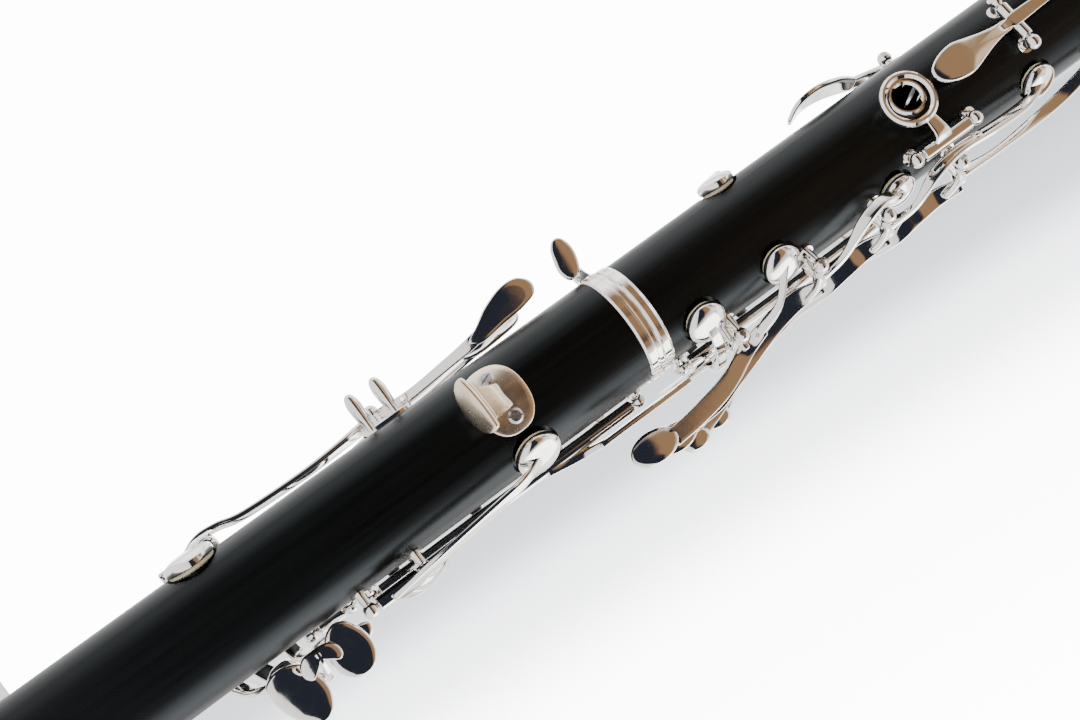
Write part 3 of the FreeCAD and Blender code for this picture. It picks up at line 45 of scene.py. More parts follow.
# ---------------------------------------------------------------- camera
# The eye is behind the instrument and looks a little upwards at its thumb side. The roll makes the
# bore run from the lower left to the upper right.
EYE = Vector((-0.106325, 0.441106, 0.202377))
AZIMUTH = math.radians(14.2)
ELEVATION = math.radians(14.0)
ROLL = math.radians(54.03)
SENSOR_WIDTH = 36.0
LENS = 66.667
AXIAL = Vector((0, 0, 1))
BACK = Vector((0, 1, 0))
FORWARD = Vector((math.sin(AZIMUTH) * math.cos(ELEVATION), -math.cos(AZIMUTH) * math.cos(ELEVATION),
                  math.sin(ELEVATION)))
LEVEL = FORWARD.cross(AXIAL).normalized()
RIGHT = LEVEL * math.cos(ROLL) + LEVEL.cross(FORWARD) * math.sin(ROLL)
UP = RIGHT.cross(FORWARD)

scene = bpy.context.scene
camera_data = bpy.data.cameras.new("camera")
camera_data.sensor_width = SENSOR_WIDTH
camera_data.lens = LENS
camera_data.clip_start = 0.01
camera = bpy.data.objects.new("camera", camera_data)
scene.collection.objects.link(camera)
scene.camera = camera
camera.matrix_world = Matrix.Translation(EYE) @ Matrix((RIGHT, UP, -FORWARD)).transposed().to_4x4()


# ---------------------------------------------------------------- material helpers
class Graph:
    """A node tree and short ways to add its nodes."""

    def __init__(self, tree):
        self.tree = tree

    def node(self, kind, **settings):
        made = self.tree.nodes.new(kind)
        for name, value in settings.items():
            setattr(made, name, value)
        return made

    def link(self, source, target):
        self.tree.links.new(source, target)

    def noise(self, vector, scale, detail=4.0, rough=0.6):
        made = self.node("ShaderNodeTexNoise")
        made.inputs["Scale"].default_value = scale
        made.inputs["Detail"].default_value = detail
        made.inputs["Roughness"].default_value = rough
        self.link(vector, made.inputs["Vector"])
        return made.outputs["Fac"]

    def ramp(self, factor, stops, ease="LINEAR"):
        made = self.node("ShaderNodeValToRGB")
        ramp = made.color_ramp
        ramp.interpolation = ease
        while len(ramp.elements) < len(stops):
            ramp.elements.new(0.5)
        for element, (place, colour) in zip(ramp.elements, stops):
            element.position = place
            element.color = (*colour, 1.0)
        self.link(factor, made.inputs["Fac"])
        return made.outputs["Color"]

    def multiply_add(self, value, factor, added):
        """value * factor + added, where added is a number or another node's output."""
        made = self.node("ShaderNodeMath", operation="MULTIPLY_ADD")
        self.link(value, made.inputs[0])
        made.inputs[1].default_value = factor
        if isinstance(added, float):
            made.inputs[2].default_value = added
        else:
            self.link(added, made.inputs[2])
        return made.outputs[0]


class Look(Graph):
    """A material with one shader, patterned in the object's own coordinates."""

    def __init__(self, name):
        self.material = bpy.data.materials.new(name)
        self.material.use_nodes = True
        super().__init__(self.material.node_tree)
        self.shader = self.tree.nodes["Principled BSDF"]
        self.place = self.node("ShaderNodeTexCoord")

    def set(self, **values):
        for name, value in values.items():
            self.shader.inputs[name.replace("_", " ")].default_value = value

    def scaled(self, x=1.0, y=1.0, z=1.0):
        mapping = self.node("ShaderNodeMapping")
        mapping.inputs["Scale"].default_value = (x, y, z)
        self.link(self.place.outputs["Object"], mapping.inputs["Vector"])
        return mapping.outputs["Vector"]

    def colour(self, factor, *stops):
        self.link(self.ramp(factor, stops), self.shader.inputs["Base Color"])

    def roughness(self, factor, low, high):
        shades = self.ramp(factor, [(0.3, (low,) * 3), (0.7, (high,) * 3)])
        self.link(shades, self.shader.inputs["Roughness"])

    def bump(self, height, distance, strength):
        made = self.node("ShaderNodeBump")
        made.inputs["Strength"].default_value = strength
        made.inputs["Distance"].default_value = distance
        self.link(height, made.inputs["Height"])
        self.link(made.outputs["Normal"], self.shader.inputs["Normal"])


def grenadilla():
    """Oiled grenadilla: near black, with brown grain and fine pores along the bore."""
    g = Look("grenadilla")
    grain = g.noise(g.scaled(z=0.05), 260.0, 6.0)
    broad = g.noise(g.scaled(z=0.09), 60.0, 3.0, 0.5)
    g.colour(g.multiply_add(grain, 0.6, broad), (0.55, (0.0012, 0.0012, 0.0013)),
             (0.80, (0.0026, 0.0023, 0.0022)), (1.0, (0.0070, 0.0050, 0.0040)))
    pores = g.noise(g.scaled(z=0.02), 900.0, 3.0, 0.5)
    g.roughness(pores, 0.27, 0.38)
    g.bump(pores, 0.00004, 0.3)
    g.set(IOR=1.38, Specular_IOR_Level=0.34, Specular_Tint=(0.80, 0.93, 1.0, 1.0))
    return g.material


def silver():
    """Polished silver plate with faint handling marks."""
    g = Look("silver")
    haze = g.noise(g.scaled(), 180.0, 5.0)
    g.roughness(haze, 0.04, 0.10)
    g.colour(haze, (0.3, (0.95, 0.93, 0.90)), (0.7, (0.92, 0.895, 0.86)))
    g.bump(g.noise(g.scaled(), 420.0, 3.0, 0.5), 0.00002, 0.25)
    g.set(Metallic=1.0)
    return g.material


def brushed():
    """Warm silver plate with fine brushing along the bore, for the thumb rest."""
    g = Look("brushed_silver")
    lay = g.noise(g.scaled(1.0, 0.04, 0.04), 2600.0)
    g.roughness(g.noise(g.scaled(), 200.0), 0.20, 0.30)
    g.colour(lay, (0.3, (0.93, 0.80, 0.64)), (0.7, (0.87, 0.72, 0.55)))
    g.bump(lay, 0.00002, 0.35)
    g.set(Metallic=1.0)
    return g.material


def pad_skin():
    """Cream fish-skin over felt, slightly mottled."""
    g = Look("pad_skin")
    mottle = g.noise(g.scaled(), 500.0)
    g.colour(mottle, (0.3, (0.78, 0.68, 0.46)), (0.7, (0.90, 0.83, 0.64)))
    g.roughness(mottle, 0.45, 0.65)
    g.bump(mottle, 0.00005, 0.4)
    g.set(Subsurface_Weight=0.15, Subsurface_Radius=(0.002, 0.0015, 0.001), Subsurface_Scale=0.5)
    return g.material


def cork():
    """Tenon cork with its dark and light cells."""
    g = Look("cork")
    cells = g.noise(g.scaled(), 900.0, 5.0, 0.7)
    g.colour(cells, (0.35, (0.22, 0.12, 0.06)), (0.6, (0.52, 0.36, 0.21)))
    g.bump(cells, 0.0001, 0.6)
    g.set(Roughness=0.85)
    return g.material


def ebonite():
    """The mouthpiece's polished black rubber."""
    g = Look("ebonite")
    haze = g.noise(g.scaled(), 300.0)
    g.colour(haze, (0.3, (0.006, 0.006, 0.0065)), (0.7, (0.010, 0.010, 0.0105)))
    g.roughness(haze, 0.14, 0.24)
    g.bump(haze, 0.00002, 0.2)
    g.set(IOR=1.6)
    return g.material


def cane():
    """The reed, with its fibres along the bore."""
    g = Look("cane")
    fibre = g.noise(g.scaled(z=0.02), 1500.0)
    g.colour(fibre, (0.3, (0.55, 0.38, 0.16)), (0.7, (0.78, 0.62, 0.34)))
    g.bump(fibre, 0.00005, 0.4)
    g.set(Roughness=0.55)
    return g.material


def steel():
    """Bright steel of the rods and screws."""
    g = Look("steel")
    lay = g.noise(g.scaled(), 1200.0, 3.0)
    g.roughness(lay, 0.22, 0.36)
    g.colour(lay, (0.3, (0.42, 0.42, 0.44)), (0.7, (0.56, 0.56, 0.57)))
    g.set(Metallic=1.0)
    return g.material


LOOKS = {"grenadilla": grenadilla(), "silver": silver(), "pad": pad_skin(), "cork": cork(),
         "ebonite": ebonite(), "cane": cane(), "steel": steel()}
BRUSHED = brushed()
SLOT_OF = {entry["node"]: entry["material_slot"] for entry in frame["record"]["subparts"]}
for name, obj in NODES.items():
    look = LOOKS[SLOT_OF[name]]
    if not obj.material_slots:
        obj.data.materials.append(look)
    for place in obj.material_slots:
        place.material = look

# ---------------------------------------------------------------- shapes
# Shapes are (points, faces) pairs in millimetres. Z runs up the bore; keys are placed by station
# (height above the joint line), angle round the body from the thumb side, and radius.
JOINT = 338.0
LOWER_R = 14.05
UPPER_R = 13.75
SEAT_DEPTH = 0.9
BALL_R = 1.9
TUBE_RADIUS = 1.7
POST_GAP = 0.1
ON_AXIS = 1e-6
MM = 0.001


def V(x, y, z):
    """A point or a direction in millimetres."""
    return Vector((x, y, z))


def outward(angle):
    """Away from the bore at an angle round the body."""
    a = math.radians(angle)
    return Vector((math.sin(a), math.cos(a), 0))


def sideways(angle):
    """Round the body at that angle, towards greater angles."""
    a = math.radians(angle)
    return Vector((math.cos(a), -math.sin(a), 0))


def at(station, angle, radius):
    """A point given by its station, its angle and its radius."""
    return outward(angle) * radius + V(0, 0, JOINT + station)


def stack(rings, wrap=False):
    """A closed skin over rings of equal length; a ring of one point ends it in a tip."""
    points = []
    starts = []
    for ring in rings:
        starts.append(len(points))
        points += ring
    faces = []
    pairs = list(zip(range(len(rings)), range(1, len(rings))))
    if wrap:
        pairs.append((len(rings) - 1, 0))
    for a, b in pairs:
        count = max(len(rings[a]), len(rings[b]))
        for i in range(count):
            k = (i + 1) % count
            if len(rings[a]) == 1:
                faces.append((starts[a], starts[b] + k, starts[b] + i))
            elif len(rings[b]) == 1:
                faces.append((starts[a] + i, starts[a] + k, starts[b]))
            else:
                faces.append((starts[a] + i, starts[a] + k, starts[b] + k, starts[b] + i))
    return points, faces


def spun(profile, base, direction, steps=48):
    """Turn a closed (radius, height) profile round the line through base along direction."""
    helper = V(1, 0, 0) if abs(direction.x) < 0.8 else V(0, 1, 0)
    side = direction.cross(helper).normalized()
    across = direction.cross(side).normalized()
    rings = []
    for r, height in profile:
        middle = base + direction * height
        if r < ON_AXIS:
            rings.append([middle])
            continue
        turns = [2 * math.pi * i / steps for i in range(steps)]
        rings.append([middle + side * (r * math.cos(t)) + across * (r * math.sin(t)) for t in turns])
    return stack(rings, wrap=profile[0][0] > ON_AXIS and profile[-1][0] > ON_AXIS)


def through(values, steps, closed=False):
    """Values on a Catmull-Rom curve through the given ones, with that many steps to each span."""
    count = len(values)
    out = []
    for i in range(count if closed else count - 1):
        b = values[i]
        c = values[(i + 1) % count]
        a = values[(i - 1) % count] if closed or i > 0 else b * 2 - c
        d = values[(i + 2) % count] if closed or i + 2 < count else c * 2 - b
        for k in range(steps):
            t = k / steps
            out.append((b * 2 + (c - a) * t + (a * 2 - b * 5 + c * 4 - d) * (t * t)
                        + (b * 3 - a - c * 3 + d) * (t * t * t)) * 0.5)
    return out if closed else out + [values[-1]]


def section(width, thickness, steps=24, power=5.0):
    """A bar's outline: nearly flat faces that roll over into rounded edges."""
    out = []
    for i in range(steps):
        t = 2 * math.pi * (i + 0.5) / steps
        c, s = math.cos(t), math.sin(t)
        x = math.copysign(abs(c) ** (2 / power), c) * width / 2
        y = math.copysign(abs(s) ** (2 / power), s) * thickness / 2
        out.append((x, y))
    return out


# How far an arm's rounded end and its tip reach past the last point, as shares of its thickness.
END_REACH = 0.40
TIP_REACH = 0.42


def arm(path, widths, thicknesses, flat=None, ending=None, spans=2.0, steps=8):
    """A rounded bar along a path of points. Its flat side faces away from the bore, or along flat,
    and over the last spans it turns to face along ending."""
    points = through(path, steps)
    widths = through(widths, steps)
    thicknesses = through(thicknesses, steps)
    last = len(points) - 1
    frames = []
    for i, point in enumerate(points):
        run = (points[min(i + 1, last)] - points[max(i - 1, 0)]).normalized()
        up = flat if flat else Vector((point.x, point.y, 0)).normalized()
        if ending:
            turned = min(1.0, max(0.0, (i - last + spans * steps) / (1.5 * steps)))
            up = up.lerp(ending, turned)
        up = (up - run * up.dot(run)).normalized()
        frames.append((point, run, up.cross(run).normalized(), up))
    rings = []
    for i, (point, run, across, up) in enumerate(frames):
        rings.append([point + across * x + up * y for x, y in section(widths[i], thicknesses[i])])
        if i in (0, last):
            sign = -1 if i == 0 else 1
            wide, thick = widths[i], thicknesses[i]
            caps = []
            for part in (0.35, 0.7, 0.93):
                shrink = math.sqrt(1 - part * part)
                middle = point + run * (sign * part * thick * END_REACH)
                outline = section(wide - thick * (1 - shrink), thick * (0.15 + 0.85 * shrink))
                caps.append([middle + across * x + up * y for x, y in outline])
            caps.append([point + run * (sign * thick * TIP_REACH)])
            rings = caps[::-1] + rings if i == 0 else rings + caps
    return stack(rings)


def plate(outline, thickness, dome=0.25):
    """A plate with rounded edges and a slightly domed face, from a closed outline of points."""
    edge = through(outline, 6, closed=True)
    middle = sum(edge, Vector()) / len(edge)
    normal = Vector()
    for a, b in zip(edge, edge[1:] + edge[:1]):
        normal += (a - middle).cross(b - middle)
    normal.normalize()
    half = thickness / 2
    roll = thickness * 0.46
    # Each row is its share of the outline, its height and how far it is drawn in from the edge.
    rows = [(0.35, -half - dome * 0.26, 0.0), (0.7, -half - dome * 0.15, 0.0)]
    for k in range(7):
        t = math.radians(-90 + 30 * k)
        rows.append((1.0, roll * math.sin(t) + math.copysign(half - roll, math.sin(t) + 1e-9),
                     roll * (1 - math.cos(t))))
    rows += [(0.7, half + dome * 0.5, 0.0), (0.35, half + dome * 0.88, 0.0)]
    rings = [[middle - normal * (half + dome * 0.3)]]
    for part, height, inset in rows:
        ring = []
        for p in edge:
            reach = p - middle
            keep = part * (1 - min(0.6, inset / max(reach.length, 0.01)))
            ring.append(middle + reach * keep + normal * height)
        rings.append(ring)
    rings.append([middle + normal * (half + dome)])
    return stack(rings)


def fin(outline, angle, thickness):
    """A plate standing out from the body, from (station, radius) points at one angle."""
    return plate([at(s, angle, r) for s, r in outline], thickness)


def cylinder(centre, direction, radius, before, after):
    """A round bar with softened ends."""
    soft = 0.25
    profile = [(0, -before), (radius - soft, -before), (radius, soft - before), (radius, after - soft),
               (radius - soft, after), (0, after)]
    return spun(profile, centre, direction, 32)


def joined(shapes):
    """Put the pieces of one key together."""
    points = []
    faces = []
    for some_points, some_faces in shapes:
        shift = len(points)
        points += some_points
        faces += [tuple(i + shift for i in face) for face in some_faces]
    return points, faces


# A pad cup's wall, and the heights of its parts above the pad's seat.
CUP_WALL = 0.5
CUP_LIP = 1.25
CUP_ROOF = 2.45
CUP_SHOULDER = 2.5
CUP_DOME = 1.4


def cup_profile(diameter):
    """A shallow domed cup with a rolled lower rim."""
    outer = diameter / 2.0
    inner = outer - CUP_WALL
    dome = []
    for step in range(12):
        t = math.radians(7.5 * step)
        dome.append((outer * math.cos(t) ** 0.85, CUP_SHOULDER + CUP_DOME * math.sin(t) ** 1.1))
    return [(0, CUP_ROOF), (inner, CUP_ROOF), (inner, CUP_LIP + 0.1), (inner + 0.12, CUP_LIP),
            (outer - 0.15, CUP_LIP), (outer, 1.42), (outer, 2.3)] + dome + [(0, CUP_SHOULDER + CUP_DOME)]


def seat_radius(station):
    """Radius of the flat rim that a pad closes on."""
    return (UPPER_R if station > 0 else LOWER_R) - SEAT_DEPTH


def cup_roof(station, angle, height=3.05):
    """A point inside the roof of a cup, where the key's arm ends."""
    return at(station, angle, seat_radius(station) + height)


def make_cup(station, angle, diameter, seat=None):
    """A pad cup over its seat."""
    return spun(cup_profile(diameter), at(station, angle, seat or seat_radius(station)), outward(angle))


# Padded keys: station, angle round the body and cup diameter.
PADS = {
    "lower_rings": (-16.0, 172.0, 11.0),
    "sliver_lower": (-38.0, -66.0, 11.8),
    "a_flat": (-95.5, -164.0, 13.0),
    "f_sharp": (-115.0, 66.0, 12.6),
    "f": (-136.0, -174.0, 16.5),
    "e": (-163.0, 180.0, 17.0),
    "upper_rings": (63.0, -168.0, 9.5),
    "c_sharp": (12.5, -59.0, 10.5),
    "side_1": (36.0, -57.0, 10.2),
    "side_2": (72.5, -73.0, 9.6),
    "side_3": (119.0, -64.0, 9.6),
    "side_4": (140.0, -74.0, 9.6),
    "sliver_upper": (37.5, 67.0, 9.6),
    "throat_g_sharp": (112.0, 128.0, 9.6),
    "throat_a": (134.0, 172.0, 9.6),
}

# ---------------------------------------------------------------- hinges
# Axial hinges: station of each post, angle and radius of the rod.
AXIAL_HINGES = {
    "lower_rings": (-86.0, -8.0, -118.0, 16.9),
    "sliver_lower": (-89.0, -73.5, -90.0, 18.6),
    "a_flat": (-101.8, -91.0, -134.0, 17.4),
    "f_sharp": (-112.5, -103.0, 180.0, 17.6),
    "f": (-150.0, -116.0, 148.0, 17.6),
    "e": (-172.5, -116.0, 124.0, 16.7),
    "upper_rings": (5.6, 70.0, -118.0, 16.9),
    "c_sharp": (5.6, 17.6, 180.0, 17.2),
    "sliver_upper": (42.5, 57.0, 124.0, 16.8),
    "thumb_ring": (78.0, 97.0, -47.0, 17.0),
}
# Cross hinges: station, angle at the middle, radius there, and half the distance between posts.
CROSS_HINGES = {
    "side_1": (18.5, -92.0, 19.3, 4.2),
    "side_2": (43.5, -78.0, 19.3, 3.6),
    "side_3": (65.0, -78.0, 19.3, 3.6),
    "side_4": (89.0, -80.0, 19.3, 3.6),
    "register": (119.5, 0.0, 16.7, 7.0),
    "throat_g_sharp": (98.0, 118.0, 17.0, 4.4),
    "throat_a": (119.0, 172.0, 17.0, 4.6),
    "lever_e": (-61.0, 118.0, 18.6, 6.6),
}


def hinge_line(name):
    """Middle of the hinge, its direction, and half the distance between its posts."""
    if name in AXIAL_HINGES:
        low, high, angle, radius = AXIAL_HINGES[name]
        return at((low + high) / 2.0, angle, radius), AXIAL, (high - low) / 2.0
    station, angle, radius, half = CROSS_HINGES[name]
    return at(station, angle, radius), sideways(angle), half


def tube(name):
    """The hinge tube between its posts."""
    centre, direction, half = hinge_line(name)
    reach = half - BALL_R - POST_GAP
    return cylinder(centre, direction, TUBE_RADIUS, reach, reach)


def opened(shape, name, degrees):
    """The shape turned about its hinge, for a key that is drawn pressed and stands open."""
    centre, direction, _ = hinge_line(name)
    turned = Matrix.Rotation(math.radians(degrees), 3, direction)
    points, faces = shape
    return [centre + turned @ (point - centre) for point in points], faces


# How far the keys that are drawn pressed stand open, in degrees.
RING_LIFT = 6.0
F_LIFT = 7.0
E_LIFT = 6.0
THUMB_LIFT = 4.0

THUMB_HOLE = 83.8
VENT_STATION = 152.0
RING_BASE = LOWER_R + 0.3


# ---------------------------------------------------------------- keys
def finger_ring(station, angle, centre_radius, shift=0.0):
    """A finger ring lying round a chimney, in the pressed position."""
    inner = 6.5
    outer = 8.1
    tall = 1.7
    base = at(station, angle, centre_radius) + sideways(angle) * shift
    return spun([(inner, 0.3), (inner + 0.3, 0), (outer - 0.3, 0), (outer, 0.3), (outer, tall - 0.5),
                 (outer - 0.5, tall), (inner + 0.5, tall), (inner, tall - 0.5)], base, outward(angle))


def ring_link(name, station):
    """The short arm from a ring key's tube to the rim of a finger ring."""
    _, _, angle, radius = AXIAL_HINGES[name]
    rim = at(station, 180, RING_BASE + 0.85) + V(-6.9, 0, 0)
    path = [at(station, angle, radius), at(station, angle - 14, radius + 0.6), rim]
    return arm(path, [4.6, 3.8, 3.4], [1.8, 1.5, 1.2])


def make_ring_key(name, stations, bridge):
    """A tube with finger rings, a padded cup and the bridge lever that meets the other joint.

    bridge holds the lever's ends, its offset from the hinge, and the ends of its root on the tube.
    """
    station, angle, diameter = PADS[name]
    _, _, hinge_angle, radius = AXIAL_HINGES[name]
    pieces = [tube(name)]
    for ring_station in stations:
        pieces.append(finger_ring(ring_station, 180, RING_BASE, -0.35))
        pieces.append(ring_link(name, ring_station))
    pieces.append(make_cup(station, angle, diameter))
    far = angle - 360.0 if angle > 0 else angle
    between = [at(station, hinge_angle + (far - hinge_angle) * part, radius + rise)
               for part, rise in ((0.3, 1.3), (0.7, 1.2))]
    pieces.append(arm([at(station, hinge_angle, radius)] + between + [cup_roof(station, angle)],
                      [4.4, 3.6, 3.2, 3.0], [1.8, 1.5, 1.4, 1.3]))
    start, finish, offset, root_low, root_high = bridge
    beside = sideways(hinge_angle) * offset
    height = radius + 3.0
    middle = (start + finish) / 2.0
    pieces.append(arm([at(s, hinge_angle, height) + beside for s in (start, middle, finish)],
                      [3.3, 3.5, 3.3], [1.5, 1.5, 1.5]))
    root_middle = (root_low + root_high) / 2.0
    pieces.append(arm([at(root_low, hinge_angle, radius + 1.0), at(root_middle, hinge_angle, radius + 2.2),
                       at(root_high, hinge_angle, height) + beside * 0.9],
                      [3.2, 3.4, 3.2], [1.9, 2.0, 1.5]))
    return opened(joined(pieces), name, -RING_LIFT)


def make_sliver_lower():
    """The B natural key: a long arm with its cup, and a touch between the finger rings."""
    station, angle, diameter = PADS["sliver_lower"]
    long_arm = arm([at(-82, -88, 20.0), at(-78, -81.5, 20.3), at(-74, -77.5, 20.2), at(-64, -74, 19.8),
                    at(-52, -70, 19.2), at(-44, -67, 18.6), cup_roof(station, angle, 3.0)],
                   [5.4, 4.2, 3.6, 3.8, 3.4, 2.8, 2.6], [1.7, 1.5, 1.5, 1.4, 1.4, 1.3, 1.2])
    finger = arm([at(-80.5, -94, 20.0), at(-76, -106, 21.4), at(-70, -122, 21.6), at(-66, -136, 20.4),
                  at(-66, -144, 20.0)],
                 [4.0, 3.6, 3.8, 6.0, 4.0], [1.6, 1.4, 1.4, 1.3, 1.0])
    return joined([tube("sliver_lower"), long_arm, finger, make_cup(station, angle, diameter)])


def make_a_flat():
    """The A flat key, with an upright touch for the right little finger."""
    station, angle, diameter = PADS["a_flat"]
    link = arm([at(-96.5, -134, 18.2), at(-96, -148, 18.2), cup_roof(station, angle)],
               [4.6, 4.0, 3.2], [1.8, 1.5, 1.2])
    stalk = arm([at(-97, -134, 18.2), at(-96.5, -129, 20.0), at(-95.5, -128, 22.4)],
                [4.2, 3.8, 4.0], [1.8, 1.6, 1.5])
    touch = fin([(-89.8, 21.8), (-89.4, 23.8), (-91, 25.6), (-95, 26.4), (-99, 25.8), (-101.0, 24.0),
                 (-100.4, 21.8), (-95, 20.6)], -128, 1.5)
    return joined([tube("a_flat"), link, stalk, touch, make_cup(station, angle, diameter)])


# The two leaves that the right little finger plays stand out from the body at one angle.
LEAF_ANGLE = -108.0
UPPER_LEAF = [(-94.6, 16.6), (-92.6, 20.0), (-92.0, 24.0), (-93.3, 27.4), (-96.0, 29.2), (-99.8, 28.6),
              (-102.2, 25.6), (-102.6, 21.5), (-101.0, 17.6), (-97.8, 15.6)]
LOWER_LEAF = [(-117.2, 17.0), (-117.8, 20.5), (-117.0, 25.0), (-114.7, 29.0), (-111.0, 31.8), (-107.6, 30.4),
              (-105.6, 26.0), (-106.2, 21.0), (-108.2, 17.4), (-113.0, 15.6)]


def make_f_sharp():
    """The F sharp key: a leaf at the right, and an arm round the front to the cup at the left."""
    station, angle, diameter = PADS["f_sharp"]
    round_front = arm([at(-107.7, 180, 17.6), at(-107.7, 150, 17.1), at(-107.9, 122, 16.9),
                       at(-108.4, 98, 17.0), at(-110.4, 78, 17.3), cup_roof(station, angle)],
                      [4.0, 3.6, 3.4, 3.4, 3.2, 3.0], [1.8, 1.4, 1.4, 1.4, 1.4, 1.2])
    reach = arm([at(-107.7, 180, 17.6), at(-107.2, -160, 19.8), at(-106.2, -138, 21.1),
                 at(-101.6, -119, 19.2), at(-98.6, LEAF_ANGLE, 18.6)],
                [4.2, 3.8, 3.6, 3.6, 3.4], [1.8, 1.5, 1.5, 1.5, 1.1], ending=sideways(LEAF_ANGLE))
    leaf = fin(UPPER_LEAF, LEAF_ANGLE, 1.5)
    return joined([tube("f_sharp"), round_front, reach, leaf, make_cup(station, angle, diameter)])


def make_f():
    """The F key: its cup, and a reach that ends in a touch, a stem and the crow's foot."""
    station, angle, diameter = PADS["f"]
    link = arm([at(station, 148, 17.6), at(station, 163, 18.6), cup_roof(station, angle)],
               [5.2, 4.4, 3.6], [1.8, 1.6, 1.3])
    reach = arm([at(-119.8, 148, 17.6), at(-119.6, 165, 19.8), at(-118.2, -172, 21.0),
                 at(-115.0, -153, 23.4), at(-112.0, -138.5, 24.6)],
                [4.2, 3.8, 3.8, 4.2, 5.0], [1.8, 1.5, 1.5, 1.5, 1.1])
    touch = plate([V(x, -18.2, JOINT + s) for x, s in
                   ((-13, -107.5), (-17, -106.4), (-21, -107.4), (-23.5, -111.5),
                    (-22, -115.5), (-18, -117.0), (-13.5, -115.5), (-11.8, -111.5))], 1.5)
    stem = arm([V(-15.6, -18.0, JOINT - 108.4), V(-19.3, -15.0, JOINT - 105.8),
                V(-21.8, -9.5, JOINT - 104.2), V(-21.2, -3.8, JOINT - 104.2),
                V(-18.8, -0.4, JOINT - 104.2), V(-16.8, 0.6, JOINT - 104.2)],
               [2.6, 2.4, 2.4, 2.4, 2.6, 2.8], [1.7, 1.5, 1.5, 1.5, 1.5, 1.4], flat=AXIAL)
    foot = fin([(-104.2, 15.6), (-107.6, 15.9), (-109.3, 17.6), (-109.4, 20.0), (-107.8, 21.3),
                (-105.6, 19.0), (-104.2, 18.2), (-102.6, 19.0), (-100.6, 21.0), (-99.2, 20.0),
                (-99.4, 17.6), (-101.2, 16.0)], LEAF_ANGLE + 20.0, 1.4)
    pieces = [tube("f"), link, reach, touch, stem, foot, make_cup(station, angle, diameter)]
    return opened(joined(pieces), "f", F_LIFT)


def make_e():
    """The E key: its cup, a reach round the front to the lower leaf, and a lug for its lever."""
    station, angle, diameter = PADS["e"]
    link = arm([at(station, 124, 16.7), at(station, 143, 18.3), at(station, 163, 17.9),
                cup_roof(station, angle)],
               [5.4, 4.6, 4.2, 3.8], [1.8, 1.6, 1.4, 1.3])
    reach = arm([at(-122.6, 124, 16.7), at(-123.4, 142, 20.3), at(-123.8, 160, 21.0), at(-123.8, -178, 20.4),
                 at(-123.2, -155, 19.4), at(-120.5, -132, 18.6), at(-116.5, -114, 19.0),
                 at(-113.2, LEAF_ANGLE, 20.6)],
                [4.2, 3.8, 3.8, 3.8, 3.8, 3.8, 3.8, 3.6], [1.8, 1.5, 1.5, 1.5, 1.5, 1.5, 1.5, 1.1],
                ending=sideways(LEAF_ANGLE))
    leaf = fin(LOWER_LEAF, LEAF_ANGLE, 1.5)
    lug = arm([at(-120.2, 124, 16.7), at(-120.2, 114, 18.7), at(-120.2, 104, 18.6)],
              [3.4, 3.2, 3.6], [1.7, 1.4, 1.3])
    pieces = [tube("e"), link, reach, leaf, lug, make_cup(station, angle, diameter)]
    return opened(joined(pieces), "e", E_LIFT)


def make_c_sharp():
    """The C sharp key across the front: its cup at the right, its touch at the left."""
    station, angle, diameter = PADS["c_sharp"]
    right = arm([at(13.5, 180, 17.2), at(13.6, -160, 18.8), at(13.6, -140, 21.2), at(13.6, -118, 22.2),
                 at(13.3, -96, 19.4), at(12.9, -76, 17.4), cup_roof(station, angle)],
                [4.0, 3.4, 3.0, 2.9, 2.9, 2.8, 2.6], [1.7, 1.3, 1.3, 1.3, 1.3, 1.3, 1.2])
    left = arm([at(10.5, 180, 17.2), at(8.5, 158, 17.6), at(5.0, 132, 17.8), at(0.5, 110, 17.6),
                at(-2.0, 89, 19.2)],
               [4.0, 3.8, 3.6, 3.8, 3.6], [1.7, 1.5, 1.5, 1.5, 1.1], ending=sideways(88))
    touch = fin([(-4.4, 16.8), (-5.2, 19.4), (-4.6, 22.4), (-3.2, 25.6), (-1.2, 27.2), (0.6, 26.4),
                 (1.4, 23.6), (0.9, 20.4), (-0.6, 17.4), (-2.6, 16.2)], 88, 1.4)
    return joined([tube("c_sharp"), right, left, touch, make_cup(station, angle, diameter)])


def make_sliver_upper():
    """The E flat key at the left of the upper joint."""
    station, angle, diameter = PADS["sliver_upper"]
    link = arm([at(46.5, 124, 17.2), at(44.5, 108, 17.0), at(41.0, 90, 16.9), cup_roof(station, angle)],
               [4.0, 3.4, 3.0, 2.6], [1.7, 1.3, 1.3, 1.2])
    finger = arm([at(46.5, 124, 17.2), at(45.4, 136, 18.9), at(41.0, 148, 18.9), at(39.4, 160, 18.4)],
                 [3.8, 3.2, 4.6, 3.4], [1.7, 1.3, 1.3, 1.0])
    return joined([tube("sliver_upper"), link, finger, make_cup(station, angle, diameter)])


def make_thumb_ring():
    """The thumb's ring round its metal chimney, in the pressed position, on its own short hinge."""
    ring = spun([(5.35, 0.3), (5.65, 0), (6.85, 0), (7.15, 0.3), (7.15, 1.1), (6.6, 1.7), (6.0, 1.7),
                 (5.35, 1.1)], at(THUMB_HOLE, 0, 16.7) + V(-0.2, 0, 0), BACK)
    link = arm([at(86.5, -47, 17.0), at(86.2, -36, 18.2), at(85.0, -20.5, 18.4)],
               [6.4, 4.2, 3.0], [1.8, 1.5, 1.2])
    return opened(joined([tube("thumb_ring"), ring, link]), "thumb_ring", THUMB_LIFT)


